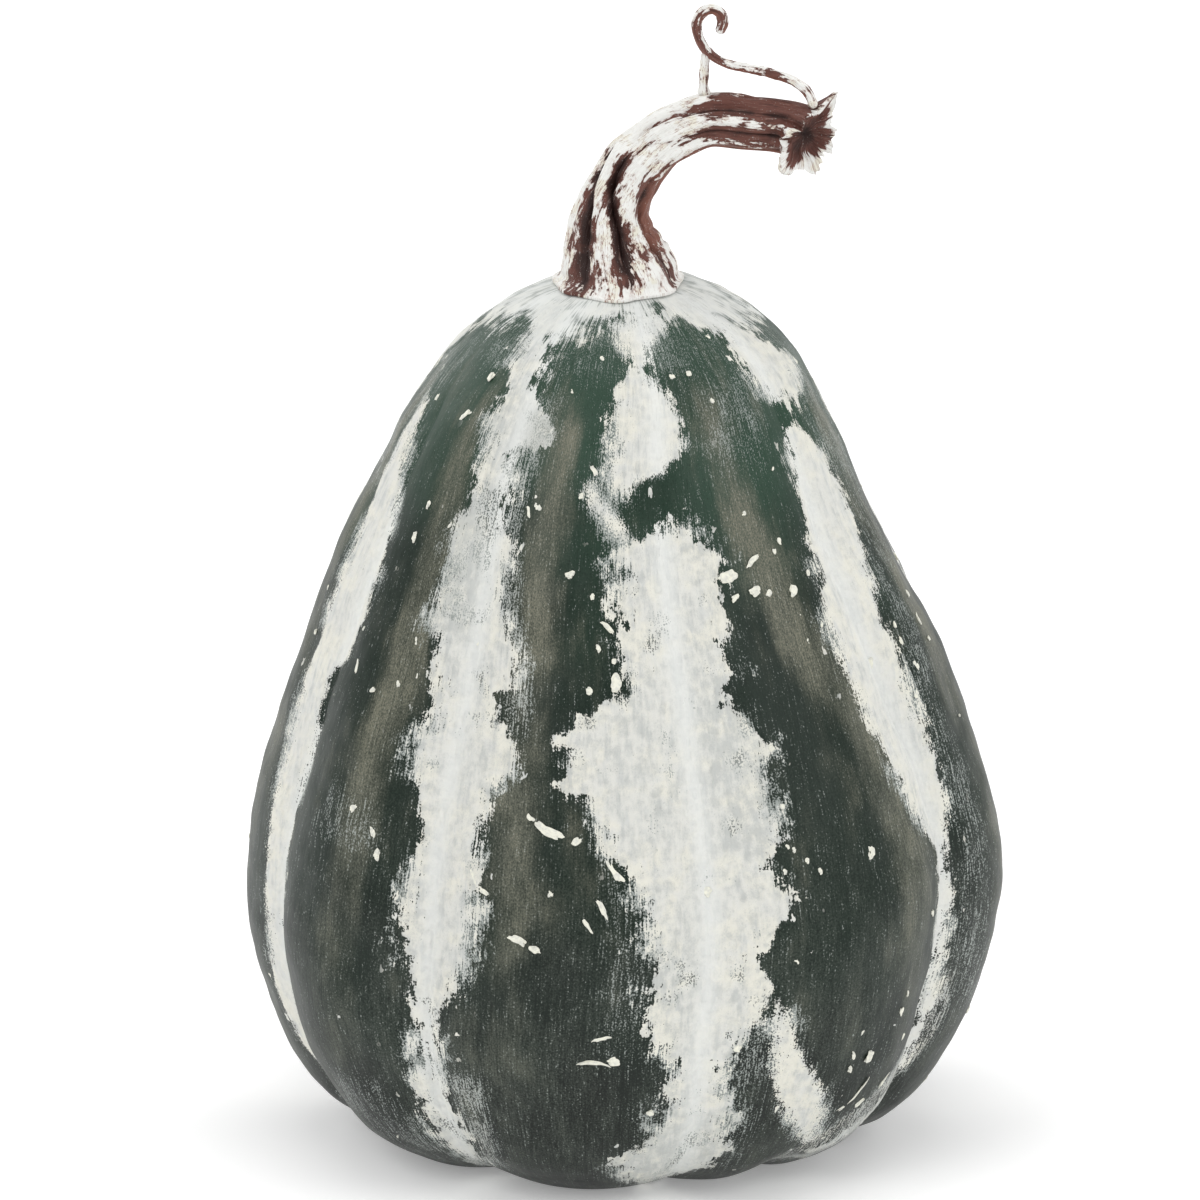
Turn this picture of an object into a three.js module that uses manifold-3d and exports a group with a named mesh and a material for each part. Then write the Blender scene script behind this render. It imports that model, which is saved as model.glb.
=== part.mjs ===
// An ornamental cushaw squash: a pear-shaped ribbed body, a ridged stem that arches over and ends
// in a torn collar, and a thin curled tendril on a short strut. Millimetres, +Z up. The squash
// stands on Z = 0 with its axis on Z; -Y is its front and the stem bends over towards +X.
//
// Each of the three pieces is a LatheGeometry, whose profile starts and ends on its axis. The
// body's surface is then moved by a formula for the ribs. The stem's and the tendril's are wound
// in their own straight space, as (radius, distance along), and bent along a curve.

import * as THREE from "three";
import { mergeVertices } from "three/addons/utils/BufferGeometryUtils.js";
import Module from "manifold-3d";

// ---------------------------------------------------------------- the body's sizes, mm

// Radius at the crest of the ribs and height, from the blossom end's hollow up to the crown.
const BODY_PROFILE = [
  [0, 7], [10, 6.2], [24, 4.3], [40, 0.5], [50, -0.9], [62, 2.3], [76.7, 12.2], [88.6, 31.5],
  [94.8, 54], [95.1, 78], [87.8, 107], [76, 140], [62, 172], [49, 198], [37, 211.5],
  [24, 219.6], [12, 223.6], [0, 225],
];
const PROFILE_STEPS = 3; // rows of faces between two points of the profile
const SEGMENTS_PER_RIB = 12;

// The grooves between the ribs: bearing from the front, towards +X, up on the shoulder and down
// on the hip, and how deep each one is.
const GROOVES = [
  { shoulder: -66, hip: -72, depth: 1.0 },
  { shoulder: -30, hip: -33, depth: 0.95 },
  { shoulder: 11, hip: 13, depth: 0.7 },
  { shoulder: 56, hip: 64, depth: 1.35 },
  { shoulder: 98, hip: 101, depth: 1.0 },
  { shoulder: 139, hip: 137, depth: 0.9 },
  { shoulder: 181, hip: 177, depth: 1.1 },
  { shoulder: 217, hip: 214, depth: 0.9 },
  { shoulder: 256, hip: 251, depth: 1.05 },
];
const SHOULDER = 160; // height above which the first bearing holds
const HIP = 80; // height below which the second one does
const GROOVE_DEPTH = [[0, 6.0], [20, 6.6], [65, 6.2], [110, 4.6], [150, 3.2], [190, 1.8], [216, 0]];
const RIB_ROUNDNESS = 0.75; // power of the rib's sine: lower is flatter on top, sharper between
const GROOVE_LIFT = 2.4; // how far the grooves rise off the ground under the ribs
const LIFT_FADES = 14; // height where that lift has gone

// A short fold that starts in the widest front rib, low down, and slants round under it.
const FOLD = { top: 26, foot: 38, halfWidth: 7, depth: 2.6, height: 56 };

// Gentle unevenness: waves round the body, each with its own length up it, size and phase.
const WAVES = [
  { around: 2, length: 170, size: 0.5, phase: 0.6 },
  { around: 5, length: 74, size: 0.35, phase: 2.1 },
];

// The axis wanders a little, as in a grown fruit: offset in X by height.
const AXIS_DRIFT = [
  [0, -1.1], [42, -0.6], [80, 1.5], [100, 1.1], [125, 0.1], [165, -1.6], [186, -1.4], [208, 0], [225, 0],
];

// ---------------------------------------------------------------- the stem's sizes, mm

const STEM_PATH = [
  [-1, 0, 222.5], [-1.2, 0, 226], [-2.2, 0, 231], [-2.8, 0, 236.5], [-2.3, 0, 241.8],
  [-0.4, 0, 247], [3.7, 0, 253.8], [10.7, -0.2, 260.7], [21.5, -0.6, 265.2], [32.4, -1.6, 265],
  [41.4, -3.8, 264.6], [48.6, -10.2, 263.4],
];
const SEGMENTS_PER_RIDGE = 7;
const FOOT_ROWS = [2.5, 5]; // the first two rows above the foot's lip
const STEM_ROW = 2.2; // spacing of the rows from there on

// Mean radius by distance from the foot along the stem.
const STEM_RADIUS = [
  [0, 17.2], [2.5, 15.6], [6, 14], [10, 12.3], [15, 10.6], [21, 9.2], [28, 8.4], [34, 7.8],
  [42, 7.2], [58, 6.9], [72, 7], [90, 7.3],
];
// The grooves' bearings at the foot, by the knuckle and over the arch, and how deep each one is.
const STEM_GROOVES = [
  { foot: -110, knuckle: -112, arch: -110, depth: 0.8 },
  { foot: -40, knuckle: -70, arch: -37, depth: 1.1 },
  { foot: 14, knuckle: -34, arch: 12, depth: 1.15 },
  { foot: 64, knuckle: 44, arch: 64, depth: 0.7 },
  { foot: 120, knuckle: 116, arch: 120, depth: 0.9 },
  { foot: 176, knuckle: 176, arch: 176, depth: 1.0 },
];
const TURN_TO_KNUCKLE = [14, 31]; // distances along over which the grooves swing over
const TURN_TO_ARCH = [35, 48];
// Groove depth by distance along: deep between the buttresses, shallow over the arch.
const STEM_GROOVE_DEPTH = [
  [0, 0.5], [3, 1.6], [10, 3.4], [23, 3.1], [31, 2.3], [36.5, 0.5], [43, 0.6], [55, 1.2],
  [75, 1.4], [90, 0.7],
];

const RIDGE_ROUNDNESS = 0.65;
// The knuckle where the outer buttresses end, with the waist just past it.
const KNUCKLE = { at: -50, halfWidth: 38, along: 33, reach: 2.8, out: 1.2, waist: 1.0 };

// The foot: its outline is drawn out along one diagonal and scalloped by the buttresses.
const FOOT = { stretch: 0.7, stretchAt: 10, scallops: 7, scallop: 0.4, lip: 0.7 };
const UNDERSIDE = [0, 0.4, 0.75]; // rings under the foot, as parts of its radius
const SEAT_GAP = 0.4; // clearance between pieces that touch

// The torn collar round the stem's end: lobes of its rim, by bearing round the stem.
const COLLAR_LOBES = [
  { at: -109, halfWidth: 10, out: 6.4, along: 1.8 },
  { at: -82, halfWidth: 15, out: -1.0, along: -0.6 },
  { at: 50, halfWidth: 18, out: 5.6, along: -1.6 },
  { at: 8, halfWidth: 24, out: 2.0, along: -2.4 },
  { at: 98, halfWidth: 20, out: 2.0, along: 1.2 },
  { at: 160, halfWidth: 34, out: 0.6, along: 0.2 },
];
const COLLAR_REACH = 9; // length of stem over which the lobes rise
// The dish in the stem's end: part of the rim's radius, and depth behind the rim.
const DISH = [[0.8, 0.8], [0.52, 2.9], [0, 3.8]];

// ---------------------------------------------------------------- the tendril's sizes, mm

const TENDRIL_PATH = [
  [48.2, -9.35, 271.65], [47.7, -8.2, 273], [45.7, -6.6, 275.4], [42.2, -4.6, 277.2],
  [36.9, -2.8, 278.4], [31.8, -1.8, 279.2], [26.9, -0.9, 280.1], [23.3, -0.3, 281.7],
  [20.9, 0, 283.8], [19.5, -0.2, 286.6], [18.8, -0.6, 289.8], [19.4, -1, 292.6],
  [21, -1.4, 294.4], [23, -1.7, 294.8], [24.9, -1.9, 293.6], [25.4, -2, 291.2],
  [24.3, -2, 288.6],
];
const TENDRIL_SIDES = 12;
const TENDRIL_ROW = 1.3;
const TENDRIL_RADIUS = [[0, 1.25], [12, 1.2], [30, 1.15], [40, 1.4], [50, 1.35], [60, 1.05], [70, 0.8]];
const STRUT = { x: 20.7, y: 0, foot: 272.35, top: 282.8, radius: 1.15, footRadius: 1.7 };

// ---------------------------------------------------------------- helpers

const rad = THREE.MathUtils.degToRad;
const xz = (points) => new THREE.SplineCurve(points.map(([x, z]) => new THREE.Vector2(x, z)));

// Smooth reading of a short table of [position, value] at a position.
function readTable(table, position) {
  const last = table.length - 1;
  if (position <= table[0][0]) return table[0][1];
  if (position >= table[last][0]) return table[last][1];
  const i = table.findIndex(([at]) => at > position) - 1;
  const [a, va] = table[i];
  const [b, vb] = table[i + 1];
  return va + (vb - va) * THREE.MathUtils.smoothstep(position, a, b);
}

// Difference between two bearings, from -180 to 180 degrees.
const bearingGap = (a, b) => THREE.MathUtils.euclideanModulo(a - b + 180, 360) - 180;

// A rounded bump, 1 at its middle and fading on both sides.
const bump = (distance, halfWidth) => Math.exp(-((distance / halfWidth) ** 2));

// Where a lathe's segment lies between grooves: each rib has the same number of segments, so that
// one always lies exactly in the bottom of each groove. Gives its bearing, and how far it is below
// the ribs' crests: 0 on a crest, the groove's own depth in a groove.
function ribAt(grooves, bearings, perRib, segment, roundness) {
  const rib = Math.floor(segment / perRib) % grooves.length;
  const next = (rib + 1) % grooves.length;
  const across = (segment % perRib) / perRib;
  const width = THREE.MathUtils.euclideanModulo(bearings[next] - bearings[rib], 360);
  const depth = THREE.MathUtils.lerp(grooves[rib].depth, grooves[next].depth, across);
  return {
    bearing: bearings[rib] + across * width,
    groove: depth * (1 - Math.sin(Math.PI * across) ** roundness),
  };
}

// Moves every vertex of a geometry by a function, and leaves one closed, merged surface.
function reshape(geometry, move) {
  const at = geometry.getAttribute("position");
  const point = new THREE.Vector3();
  for (let i = 0; i < at.count; i += 1) {
    point.fromBufferAttribute(at, i);
    const moved = move(point, i);
    at.setXYZ(i, moved.x, moved.y, moved.z);
  }
  geometry.deleteAttribute("normal");
  geometry.deleteAttribute("uv");
  const merged = mergeVertices(geometry, 1e-4);
  merged.computeVertexNormals();
  return merged;
}

// ---------------------------------------------------------------- the body

// A point of the ribbed surface, from the profile's radius and height and a bearing.
function bodySurface(radius, height, { bearing, groove }) {
  const low = 1 - THREE.MathUtils.smoothstep(height, 0, FOLD.height);
  const foldAt = THREE.MathUtils.lerp(FOLD.top, FOLD.foot, low);
  const fold = bump(bearingGap(bearing, foldAt), FOLD.halfWidth) * low;
  const share = THREE.MathUtils.smoothstep(radius, 0, 30); // the ribs fade out on the axis
  const wave = WAVES.reduce((sum, { around, length, size, phase }) =>
    sum + size * Math.sin(around * rad(bearing) + (2 * Math.PI * height) / length + phase), 0);
  const inward = readTable(GROOVE_DEPTH, height) * groove + FOLD.depth * fold - wave;
  const ribbed = Math.max(radius - inward * share, 0);
  const lift = GROOVE_LIFT * Math.min(groove + fold, 1) * share *
    (1 - THREE.MathUtils.smoothstep(height, 0, LIFT_FADES));
  return new THREE.Vector3(
    ribbed * Math.sin(rad(bearing)) + readTable(AXIS_DRIFT, height),
    -ribbed * Math.cos(rad(bearing)),
    Math.max(height + lift, 0),
  );
}

function makeBody() {
  const rows = xz(BODY_PROFILE).getPoints((BODY_PROFILE.length - 1) * PROFILE_STEPS);
  rows[0].x = 0;
  rows[rows.length - 1].x = 0;
  const lathe = new THREE.LatheGeometry(rows, SEGMENTS_PER_RIB * GROOVES.length);
  return reshape(lathe, (_, i) => {
    const { x: radius, y: height } = rows[i % rows.length];
    const up = THREE.MathUtils.smoothstep(height, HIP, SHOULDER);
    const bearings = GROOVES.map(({ shoulder, hip }) => THREE.MathUtils.lerp(hip, shoulder, up));
    const segment = Math.floor(i / rows.length);
    const rib = ribAt(GROOVES, bearings, SEGMENTS_PER_RIB, segment, RIB_ROUNDNESS);
    return bodySurface(radius, height, rib);
  });
}

// Height of the crown at a distance from the axis, for what sits on it.
function crownHeight(distance) {
  const curve = xz(BODY_PROFILE);
  const steps = 4000;
  for (let i = steps; i > 0; i -= 1) {
    const point = curve.getPoint(i / steps);
    if (point.x >= distance) return point.y;
  }
  throw new Error("no crown that far out");
}

// ---------------------------------------------------------------- pieces bent along a curve

// A frame on the path, straight on past its ends: its place, and its ways to the right and front.
function frameAt(path, length, distance) {
  const t = THREE.MathUtils.clamp(distance / length, 0, 1);
  const tangent = path.getTangentAt(t);
  const back = new THREE.Vector3(0, 1, 0);
  const right = new THREE.Vector3().crossVectors(back, tangent).normalize();
  const front = new THREE.Vector3().crossVectors(right, tangent).normalize();
  const beyond = distance - t * length;
  const origin = path.getPointAt(t).addScaledVector(tangent, beyond);
  return { origin, right, front };
}

// Lathes a profile of { radius, along } rows and bends it along a path. The shape function may
// change a vertex's radius and distance along, and settle its final place.
function bendAlong(pathPoints, rows, sides, shape) {
  const path = new THREE.CatmullRomCurve3(pathPoints.map((p) => new THREE.Vector3(...p)));
  const length = path.getLength();
  const lathe = new THREE.LatheGeometry(
    rows.map(({ radius, along }) => new THREE.Vector2(radius, along)),
    sides,
  );
  return reshape(lathe, (_, i) => {
    const row = rows[i % rows.length];
    const { bearing, radius, along, settle } = shape(row, Math.floor(i / rows.length), length);
    const { origin, right, front } = frameAt(path, length, along);
    const place = origin
      .addScaledVector(right, radius * Math.sin(rad(bearing)))
      .addScaledVector(front, radius * Math.cos(rad(bearing)));
    return settle ? settle(place) : place;
  });
}

function pathLength(points) {
  return new THREE.CatmullRomCurve3(points.map((p) => new THREE.Vector3(...p))).getLength();
}

// ---------------------------------------------------------------- the stem

function footOutline(bearing) {
  const drawn = FOOT.stretch * Math.cos(2 * rad(bearing - FOOT.stretchAt));
  return drawn + FOOT.scallop * Math.cos(FOOT.scallops * rad(bearing));
}

// Rows of the stem: under its foot, up round the lip, along the arch, over the rim, into the dish.
function stemRows(length) {
  const radiusAt = (along) => readTable(STEM_RADIUS, along);
  const [first, second] = FOOT_ROWS;
  const rows = UNDERSIDE.map((part) => ({ radius: radiusAt(0) * part, along: 0, above: 0 }));
  rows.push(
    { radius: radiusAt(0), along: 0, above: 0, foot: 1 },
    { radius: radiusAt(0), along: 0, above: FOOT.lip, foot: 1 },
    { radius: radiusAt(first), along: first, foot: 0.6 },
  );
  const count = Math.round((length - second) / STEM_ROW);
  for (let i = 0; i < count; i += 1) {
    const along = second + ((length - second) * i) / count;
    rows.push({ radius: radiusAt(along), along, foot: Math.max(0, 0.5 - i * 0.25) });
  }
  const rim = radiusAt(length);
  rows.push({ radius: rim, along: length });
  DISH.forEach(([part, depth]) => rows.push({ radius: rim * part, along: length - depth, inner: part }));
  return rows;
}

function knuckleAt(bearing, along) {
  const side = bump(bearingGap(bearing, KNUCKLE.at), KNUCKLE.halfWidth);
  const past = along - KNUCKLE.along;
  return side * (KNUCKLE.out * bump(past, KNUCKLE.reach) -
    KNUCKLE.waist * bump(past - 2 * KNUCKLE.reach, KNUCKLE.reach));
}

// The grooves' bearings at a distance along: they swing to the outer side under the knuckle.
function stemBearings(along) {
  const up = THREE.MathUtils.smoothstep(along, ...TURN_TO_KNUCKLE);
  const over = THREE.MathUtils.smoothstep(along, ...TURN_TO_ARCH);
  return STEM_GROOVES.map(({ foot, knuckle, arch }) =>
    THREE.MathUtils.lerp(THREE.MathUtils.lerp(foot, knuckle, up), arch, over));
}

function makeStem() {
  const sides = STEM_GROOVES.length * SEGMENTS_PER_RIDGE;
  return bendAlong(STEM_PATH, stemRows(pathLength(STEM_PATH)), sides, (row, segment, length) => {
    const { bearing, groove } =
      ribAt(STEM_GROOVES, stemBearings(row.along), SEGMENTS_PER_RIDGE, segment, RIDGE_ROUNDNESS);
    const settle = row.above === undefined ? undefined : seatOnCrown(row.above);
    let { radius, along } = row;
    if (radius === 0) return { bearing, radius, along, settle };
    const near = THREE.MathUtils.smoothstep(along, length - COLLAR_REACH, length);
    const torn = (row.inner ?? near) ** 2;
    radius -= readTable(STEM_GROOVE_DEPTH, along) * groove * (row.inner ?? 1);
    radius += footOutline(bearing) * (row.foot ?? 0) + knuckleAt(bearing, along);
    for (const lobe of COLLAR_LOBES) {
      const share = bump(bearingGap(bearing, lobe.at), lobe.halfWidth) * torn;
      radius += lobe.out * share;
      along += lobe.along * share;
    }
    return { bearing, radius, along, settle };
  });
}

// Sets a point of the foot down on the crown, a given height above its seat.
function seatOnCrown(above) {
  return (place) => place.setZ(crownHeight(Math.hypot(place.x, place.y)) + SEAT_GAP + above);
}

// ---------------------------------------------------------------- the tendril

// A closed round bar along a path, with a tapered radius and rounded ends.
function roundBar(pathPoints, table, sides, rowLength) {
  const length = pathLength(pathPoints);
  const radiusAt = (along) => readTable(table, along);
  const count = Math.round(length / rowLength);
  const rows = [{ radius: 0, along: 0 }];
  for (let i = 0; i <= count; i += 1) {
    const along = (length * i) / count;
    rows.push({ radius: radiusAt(along) * (i === count ? 0.7 : 1), along });
  }
  rows.push({ radius: 0, along: length + 0.3 });
  return bendAlong(pathPoints, rows, sides, ({ radius, along }, segment) =>
    ({ bearing: (segment * 360) / sides, radius, along }));
}

const wasm = await Module();
wasm.setup();

function toSolid(geometry) {
  return new wasm.Manifold(new wasm.Mesh({
    numProp: 3,
    vertProperties: geometry.getAttribute("position").array,
    triVerts: new Uint32Array(geometry.index.array),
  }));
}

function toGeometry(solid) {
  const { vertProperties, triVerts } = solid.getMesh();
  const geometry = new THREE.BufferGeometry();
  geometry.setAttribute("position", new THREE.BufferAttribute(vertProperties, 3));
  geometry.setIndex(new THREE.BufferAttribute(triVerts, 1));
  geometry.computeVertexNormals();
  return geometry;
}

function makeTendril() {
  const curl = roundBar(TENDRIL_PATH, TENDRIL_RADIUS, TENDRIL_SIDES, TENDRIL_ROW);
  const { x, y, foot, top, radius, footRadius } = STRUT;
  const middle = (foot + top) / 2;
  const strut = roundBar(
    [[x, y, foot], [x - 0.1, y, middle], [x + 0.3, y, top]],
    [[0, footRadius], [2.2, radius], [top - foot, radius]],
    TENDRIL_SIDES,
    TENDRIL_ROW,
  );
  return toGeometry(toSolid(curl).add(toSolid(strut)));
}

// ---------------------------------------------------------------- the scene graph

const squash = new THREE.Group();

function addPiece(name, geometry, color, roughness) {
  const material = new THREE.MeshStandardMaterial({ color, roughness, metalness: 0 });
  const mesh = new THREE.Mesh(geometry, material);
  mesh.name = name;
  squash.add(mesh);
}

addPiece("squash_body", makeBody(), 0x33443a, 0.5);
addPiece("stem", makeStem(), 0x85635b, 0.65);
addPiece("tendril", makeTendril(), 0x865954, 0.6);

export default squash;
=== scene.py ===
"""An ornamental cushaw squash: a pear-shaped ribbed body in dark green with broken ivory stripes
brushed down its grooves, a ridged stem that arches over to a torn collar, and a curled tendril.

Sizes are in millimetres and turned into metres where a mesh is made. Bearings are in degrees, 0 at
the front (-Y) and growing towards +X. The squash stands on Z = 0 with its axis on Z.
"""

from __future__ import annotations

import logging
import math
from dataclasses import dataclass, field
from enum import Enum, IntEnum
from typing import Callable, Union

import bpy
import numpy as np
from mathutils import Euler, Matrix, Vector

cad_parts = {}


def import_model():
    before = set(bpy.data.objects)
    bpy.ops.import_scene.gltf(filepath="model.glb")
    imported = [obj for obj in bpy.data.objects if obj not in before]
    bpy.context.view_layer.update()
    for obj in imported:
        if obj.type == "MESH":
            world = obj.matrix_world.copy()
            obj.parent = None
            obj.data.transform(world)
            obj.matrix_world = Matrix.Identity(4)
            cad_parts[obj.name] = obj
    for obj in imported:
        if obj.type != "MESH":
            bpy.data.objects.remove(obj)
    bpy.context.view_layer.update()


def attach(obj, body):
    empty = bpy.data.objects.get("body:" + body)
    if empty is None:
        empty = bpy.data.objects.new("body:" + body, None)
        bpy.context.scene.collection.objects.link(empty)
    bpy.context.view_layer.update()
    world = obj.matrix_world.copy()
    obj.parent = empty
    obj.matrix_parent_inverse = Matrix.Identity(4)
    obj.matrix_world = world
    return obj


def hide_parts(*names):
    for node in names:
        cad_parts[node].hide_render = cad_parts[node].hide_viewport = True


LOG = logging.getLogger("cushaw_squash")
METRE = 0.001  # one millimetre in metres
BODY_OF_ALL = "root"

Table = tuple[tuple[float, float], ...]
Span = tuple[float, float]
Edges = tuple[tuple[float, float, float], ...]
Colour = tuple[float, float, float, float]
Array = np.ndarray
Arrays = dict[str, Array]
Piece = bpy.types.Object
Tree = bpy.types.NodeTree
Node = bpy.types.Node
Socket = bpy.types.NodeSocket
Feed = Union[float, tuple, Socket]
Feeds = dict[Union[str, int], Feed]


class Seed(IntEnum):
    """Seeds of the uneven surfaces."""

    DENTS = 11
    WRINKLES = 31
    TEARS = 41
    LUMPS = 51
    CHIPS = 61


# ------------------------------------------------------------------------------ plain geometry


def smooth(value: Array | float, low: float, high: float) -> Array:
    """Eases from 0 at low to 1 at high.

    Args:
        value: The numbers to ease.
        low: Where the result leaves 0.
        high: Where it reaches 1.

    Returns:
        Numbers from 0 to 1.
    """
    part = np.clip((np.asarray(value, float) - low) / (high - low), 0.0, 1.0)
    return part * part * (3.0 - 2.0 * part)


def read_table(table: Table, position: Array | float) -> Array:
    """Reads a short table smoothly.

    Args:
        table: Pairs of position and value, in rising order.
        position: Where to read it.

    Returns:
        The value at each position.
    """
    stops, values = (np.array(column, float) for column in zip(*table))
    at = np.clip(np.asarray(position, float), stops[0], stops[-1])
    left = np.clip(np.searchsorted(stops, at, side="right") - 1, 0, len(stops) - 2)
    part = (at - stops[left]) / (stops[left + 1] - stops[left])
    part = part * part * (3.0 - 2.0 * part)
    return values[left] + (values[left + 1] - values[left]) * part


def bearing_gap(bearing: Array | float, other: Array | float) -> Array:
    """Difference between two bearings, from -180 to 180 degrees."""
    return np.mod(np.asarray(bearing, float) - other + 180.0, 360.0) - 180.0


def bump(distance: Array | float, half_width: float) -> Array:
    """A rounded bump, 1 at its middle and fading on both sides."""
    return np.exp(-((np.asarray(distance, float) / half_width) ** 2))


def towards(bearing: Array, side: Span) -> Array:
    """A rounded bump round a bearing, from that bearing and the bump's half width."""
    return bump(bearing_gap(bearing, side[0]), side[1])


def brush_lines(turn: Array, radius: float, along: Array) -> Array:
    """Places on a straight pillar, in which marks drawn along the brush stay straight.

    Args:
        turn: Angles round the pillar, in radians.
        radius: The pillar's radius.
        along: Distances up the pillar.

    Returns:
        The places, one row each.
    """
    return np.stack([radius * np.cos(turn), radius * np.sin(turn), along], -1)


def unevenness(points: Array, wavelength: float, seed: int, waves: int = 28) -> Array:
    """Seeded smooth unevenness in space, made of many plane waves.

    Args:
        points: Places, one row each.
        wavelength: Usual length of a wave, in the units of the points.
        seed: Seed of the waves' directions and phases.
        waves: How many waves are added.

    Returns:
        A number near -1 to 1 for each place.
    """
    random = np.random.default_rng(seed)
    ways = random.normal(size=(waves, 3))
    ways /= np.linalg.norm(ways, axis=1)[:, None]
    lengths = wavelength * random.uniform(0.7, 1.5, waves)
    phases = random.uniform(0.0, 2.0 * math.pi, waves)
    total = np.zeros(len(points))
    for way, length, phase in zip(ways, lengths, phases):
        total += np.sin(points @ (way * 2.0 * math.pi / length) + phase)
    return total / math.sqrt(waves)


def hermite(start: Array, end: Array, out: Array, back: Array, t: Array) -> Array:
    """A cubic from start to end that leaves and arrives by two given slopes."""
    squared = 3 * end - 3 * start - 2 * out - back
    cubed = 2 * start - 2 * end + out + back
    return start + out * t + squared * t**2 + cubed * t**3


def spline_profile(points: Table, steps: int) -> Array:
    """A uniform Catmull-Rom curve through a flat outline.

    Args:
        points: The outline's points.
        steps: Steps between two points.

    Returns:
        The curve's points, one row each.
    """
    given = np.array(points, float)
    last = len(given) - 1
    t = np.linspace(0.0, last, last * steps + 1)
    i = np.minimum(t.astype(int), last)
    w = (t - i)[:, None]
    a, b = given[np.maximum(i - 1, 0)], given[i]
    c, d = given[np.minimum(i + 1, last)], given[np.minimum(i + 2, last)]
    return hermite(b, c, (c - a) / 2.0, (d - b) / 2.0, w)


@dataclass
class Bend:
    """A smooth centripetal curve through points in space, read by distance along it."""

    points: tuple[tuple[float, float, float], ...]
    steps: int = 60

    def __post_init__(self) -> None:
        """Works out the curve's places, its ways and their distances."""
        given = np.array(self.points, float)
        padded = np.vstack([2 * given[0] - given[1], given, 2 * given[-1] - given[-2]])
        t = np.linspace(0.0, 1.0, self.steps, endpoint=False)[:, None]
        spans = [self._span(padded[i : i + 4], t) for i in range(len(given) - 1)]
        self.places = np.vstack([*spans, given[-1:]])
        step = np.linalg.norm(np.diff(self.places, axis=0), axis=1)
        self.distances = np.concatenate([[0.0], np.cumsum(step)])
        self.length = float(self.distances[-1])
        ways = np.gradient(self.places, self.distances, axis=0)
        self.ways = ways / np.linalg.norm(ways, axis=1)[:, None]

    @staticmethod
    def _span(four: Array, t: Array) -> Array:
        """The curve between the second and the third of four points."""
        p0, p1, p2, p3 = four
        d0, d1, d2 = (math.sqrt(np.linalg.norm(b - a)) for a, b in zip(four, four[1:]))
        out = ((p1 - p0) / d0 - (p2 - p0) / (d0 + d1) + (p2 - p1) / d1) * d1
        back = ((p2 - p1) / d1 - (p3 - p1) / (d1 + d2) + (p3 - p2) / d2) * d1
        return hermite(p1, p2, out, back, t)

    def at(self, distance: Array) -> tuple[Array, Array, Array]:
        """Frames on the curve, straight on past its ends.

        Args:
            distance: Distances along the curve, in any shape.

        Returns:
            The places, and the ways to the right and to the front, with a last axis of 3.
        """
        inside = np.clip(distance, 0.0, self.length)
        place = np.stack([np.interp(inside, self.distances, self.places[:, k]) for k in range(3)], -1)
        way = np.stack([np.interp(inside, self.distances, self.ways[:, k]) for k in range(3)], -1)
        way /= np.linalg.norm(way, axis=-1, keepdims=True)
        place = place + way * (distance - inside)[..., None]
        right = np.cross(np.array([0.0, 1.0, 0.0]), way)
        right /= np.linalg.norm(right, axis=-1, keepdims=True)
        front = np.cross(right, way)
        return place, right, front / np.linalg.norm(front, axis=-1, keepdims=True)


@dataclass
class Ribs:
    """Ribs between grooves round an axis, as bearings and depths of the grooves."""

    depths: tuple[float, ...]
    roundness: float

    def across(self, bearings: Array, rib: Array, part: Array) -> tuple[Array, Array]:
        """Where a place between two grooves lies.

        Args:
            bearings: The grooves' bearings, with the grooves on the last axis.
            rib: Which rib each place is on.
            part: How far across that rib it is, from 0 to 1.

        Returns:
            Its bearing, and how far it is below the ribs' crests.
        """
        following = (rib + 1) % len(self.depths)
        start = np.take_along_axis(bearings, rib, -1)
        width = np.mod(np.take_along_axis(bearings, following, -1) - start, 360.0)
        depth = np.array(self.depths)
        share = depth[rib] + (depth[following] - depth[rib]) * part
        crest = np.sin(math.pi * np.clip(part, 0.0, 1.0)) ** self.roundness
        return start + part * width, share * (1.0 - crest)

    def find(self, bearings: Array, bearing: Array) -> tuple[Array, Array]:
        """Finds the rib under a bearing, and how far across it that is.

        Args:
            bearings: The grooves' bearings for each place, one row each.
            bearing: The bearing of each place.

        Returns:
            The rib's number and the part across it.
        """
        past = np.mod(bearing[:, None] - bearings, 360.0)
        rib = past.argmin(1)
        rows = np.arange(len(rib))
        width = np.mod(bearings[rows, (rib + 1) % len(self.depths)] - bearings[rows, rib], 360.0)
        return rib, past[rows, rib] / width


# ------------------------------------------------------------------------------ mesh work


def select_none() -> None:
    """Leaves every object deselected, so that an operator acts on nothing else."""
    bpy.ops.object.select_all(action="DESELECT")


def name_new(name: str) -> Piece:
    """Names the object that an operator has just added, with its mesh."""
    piece = bpy.context.object
    piece.name = name
    piece.data.name = name
    return piece


def read_points(piece: Piece, what: str = "co") -> Array:
    """The places of a mesh's points in its own units, or their normals, one row each."""
    flat = np.empty(len(piece.data.vertices) * 3)
    piece.data.vertices.foreach_get(what, flat)
    return flat.reshape(-1, 3)


def move_points(piece: Piece, places: Array) -> None:
    """Moves a mesh's points to places in millimetres."""
    piece.data.vertices.foreach_set("co", (places * METRE).ravel())
    piece.data.update()


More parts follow.
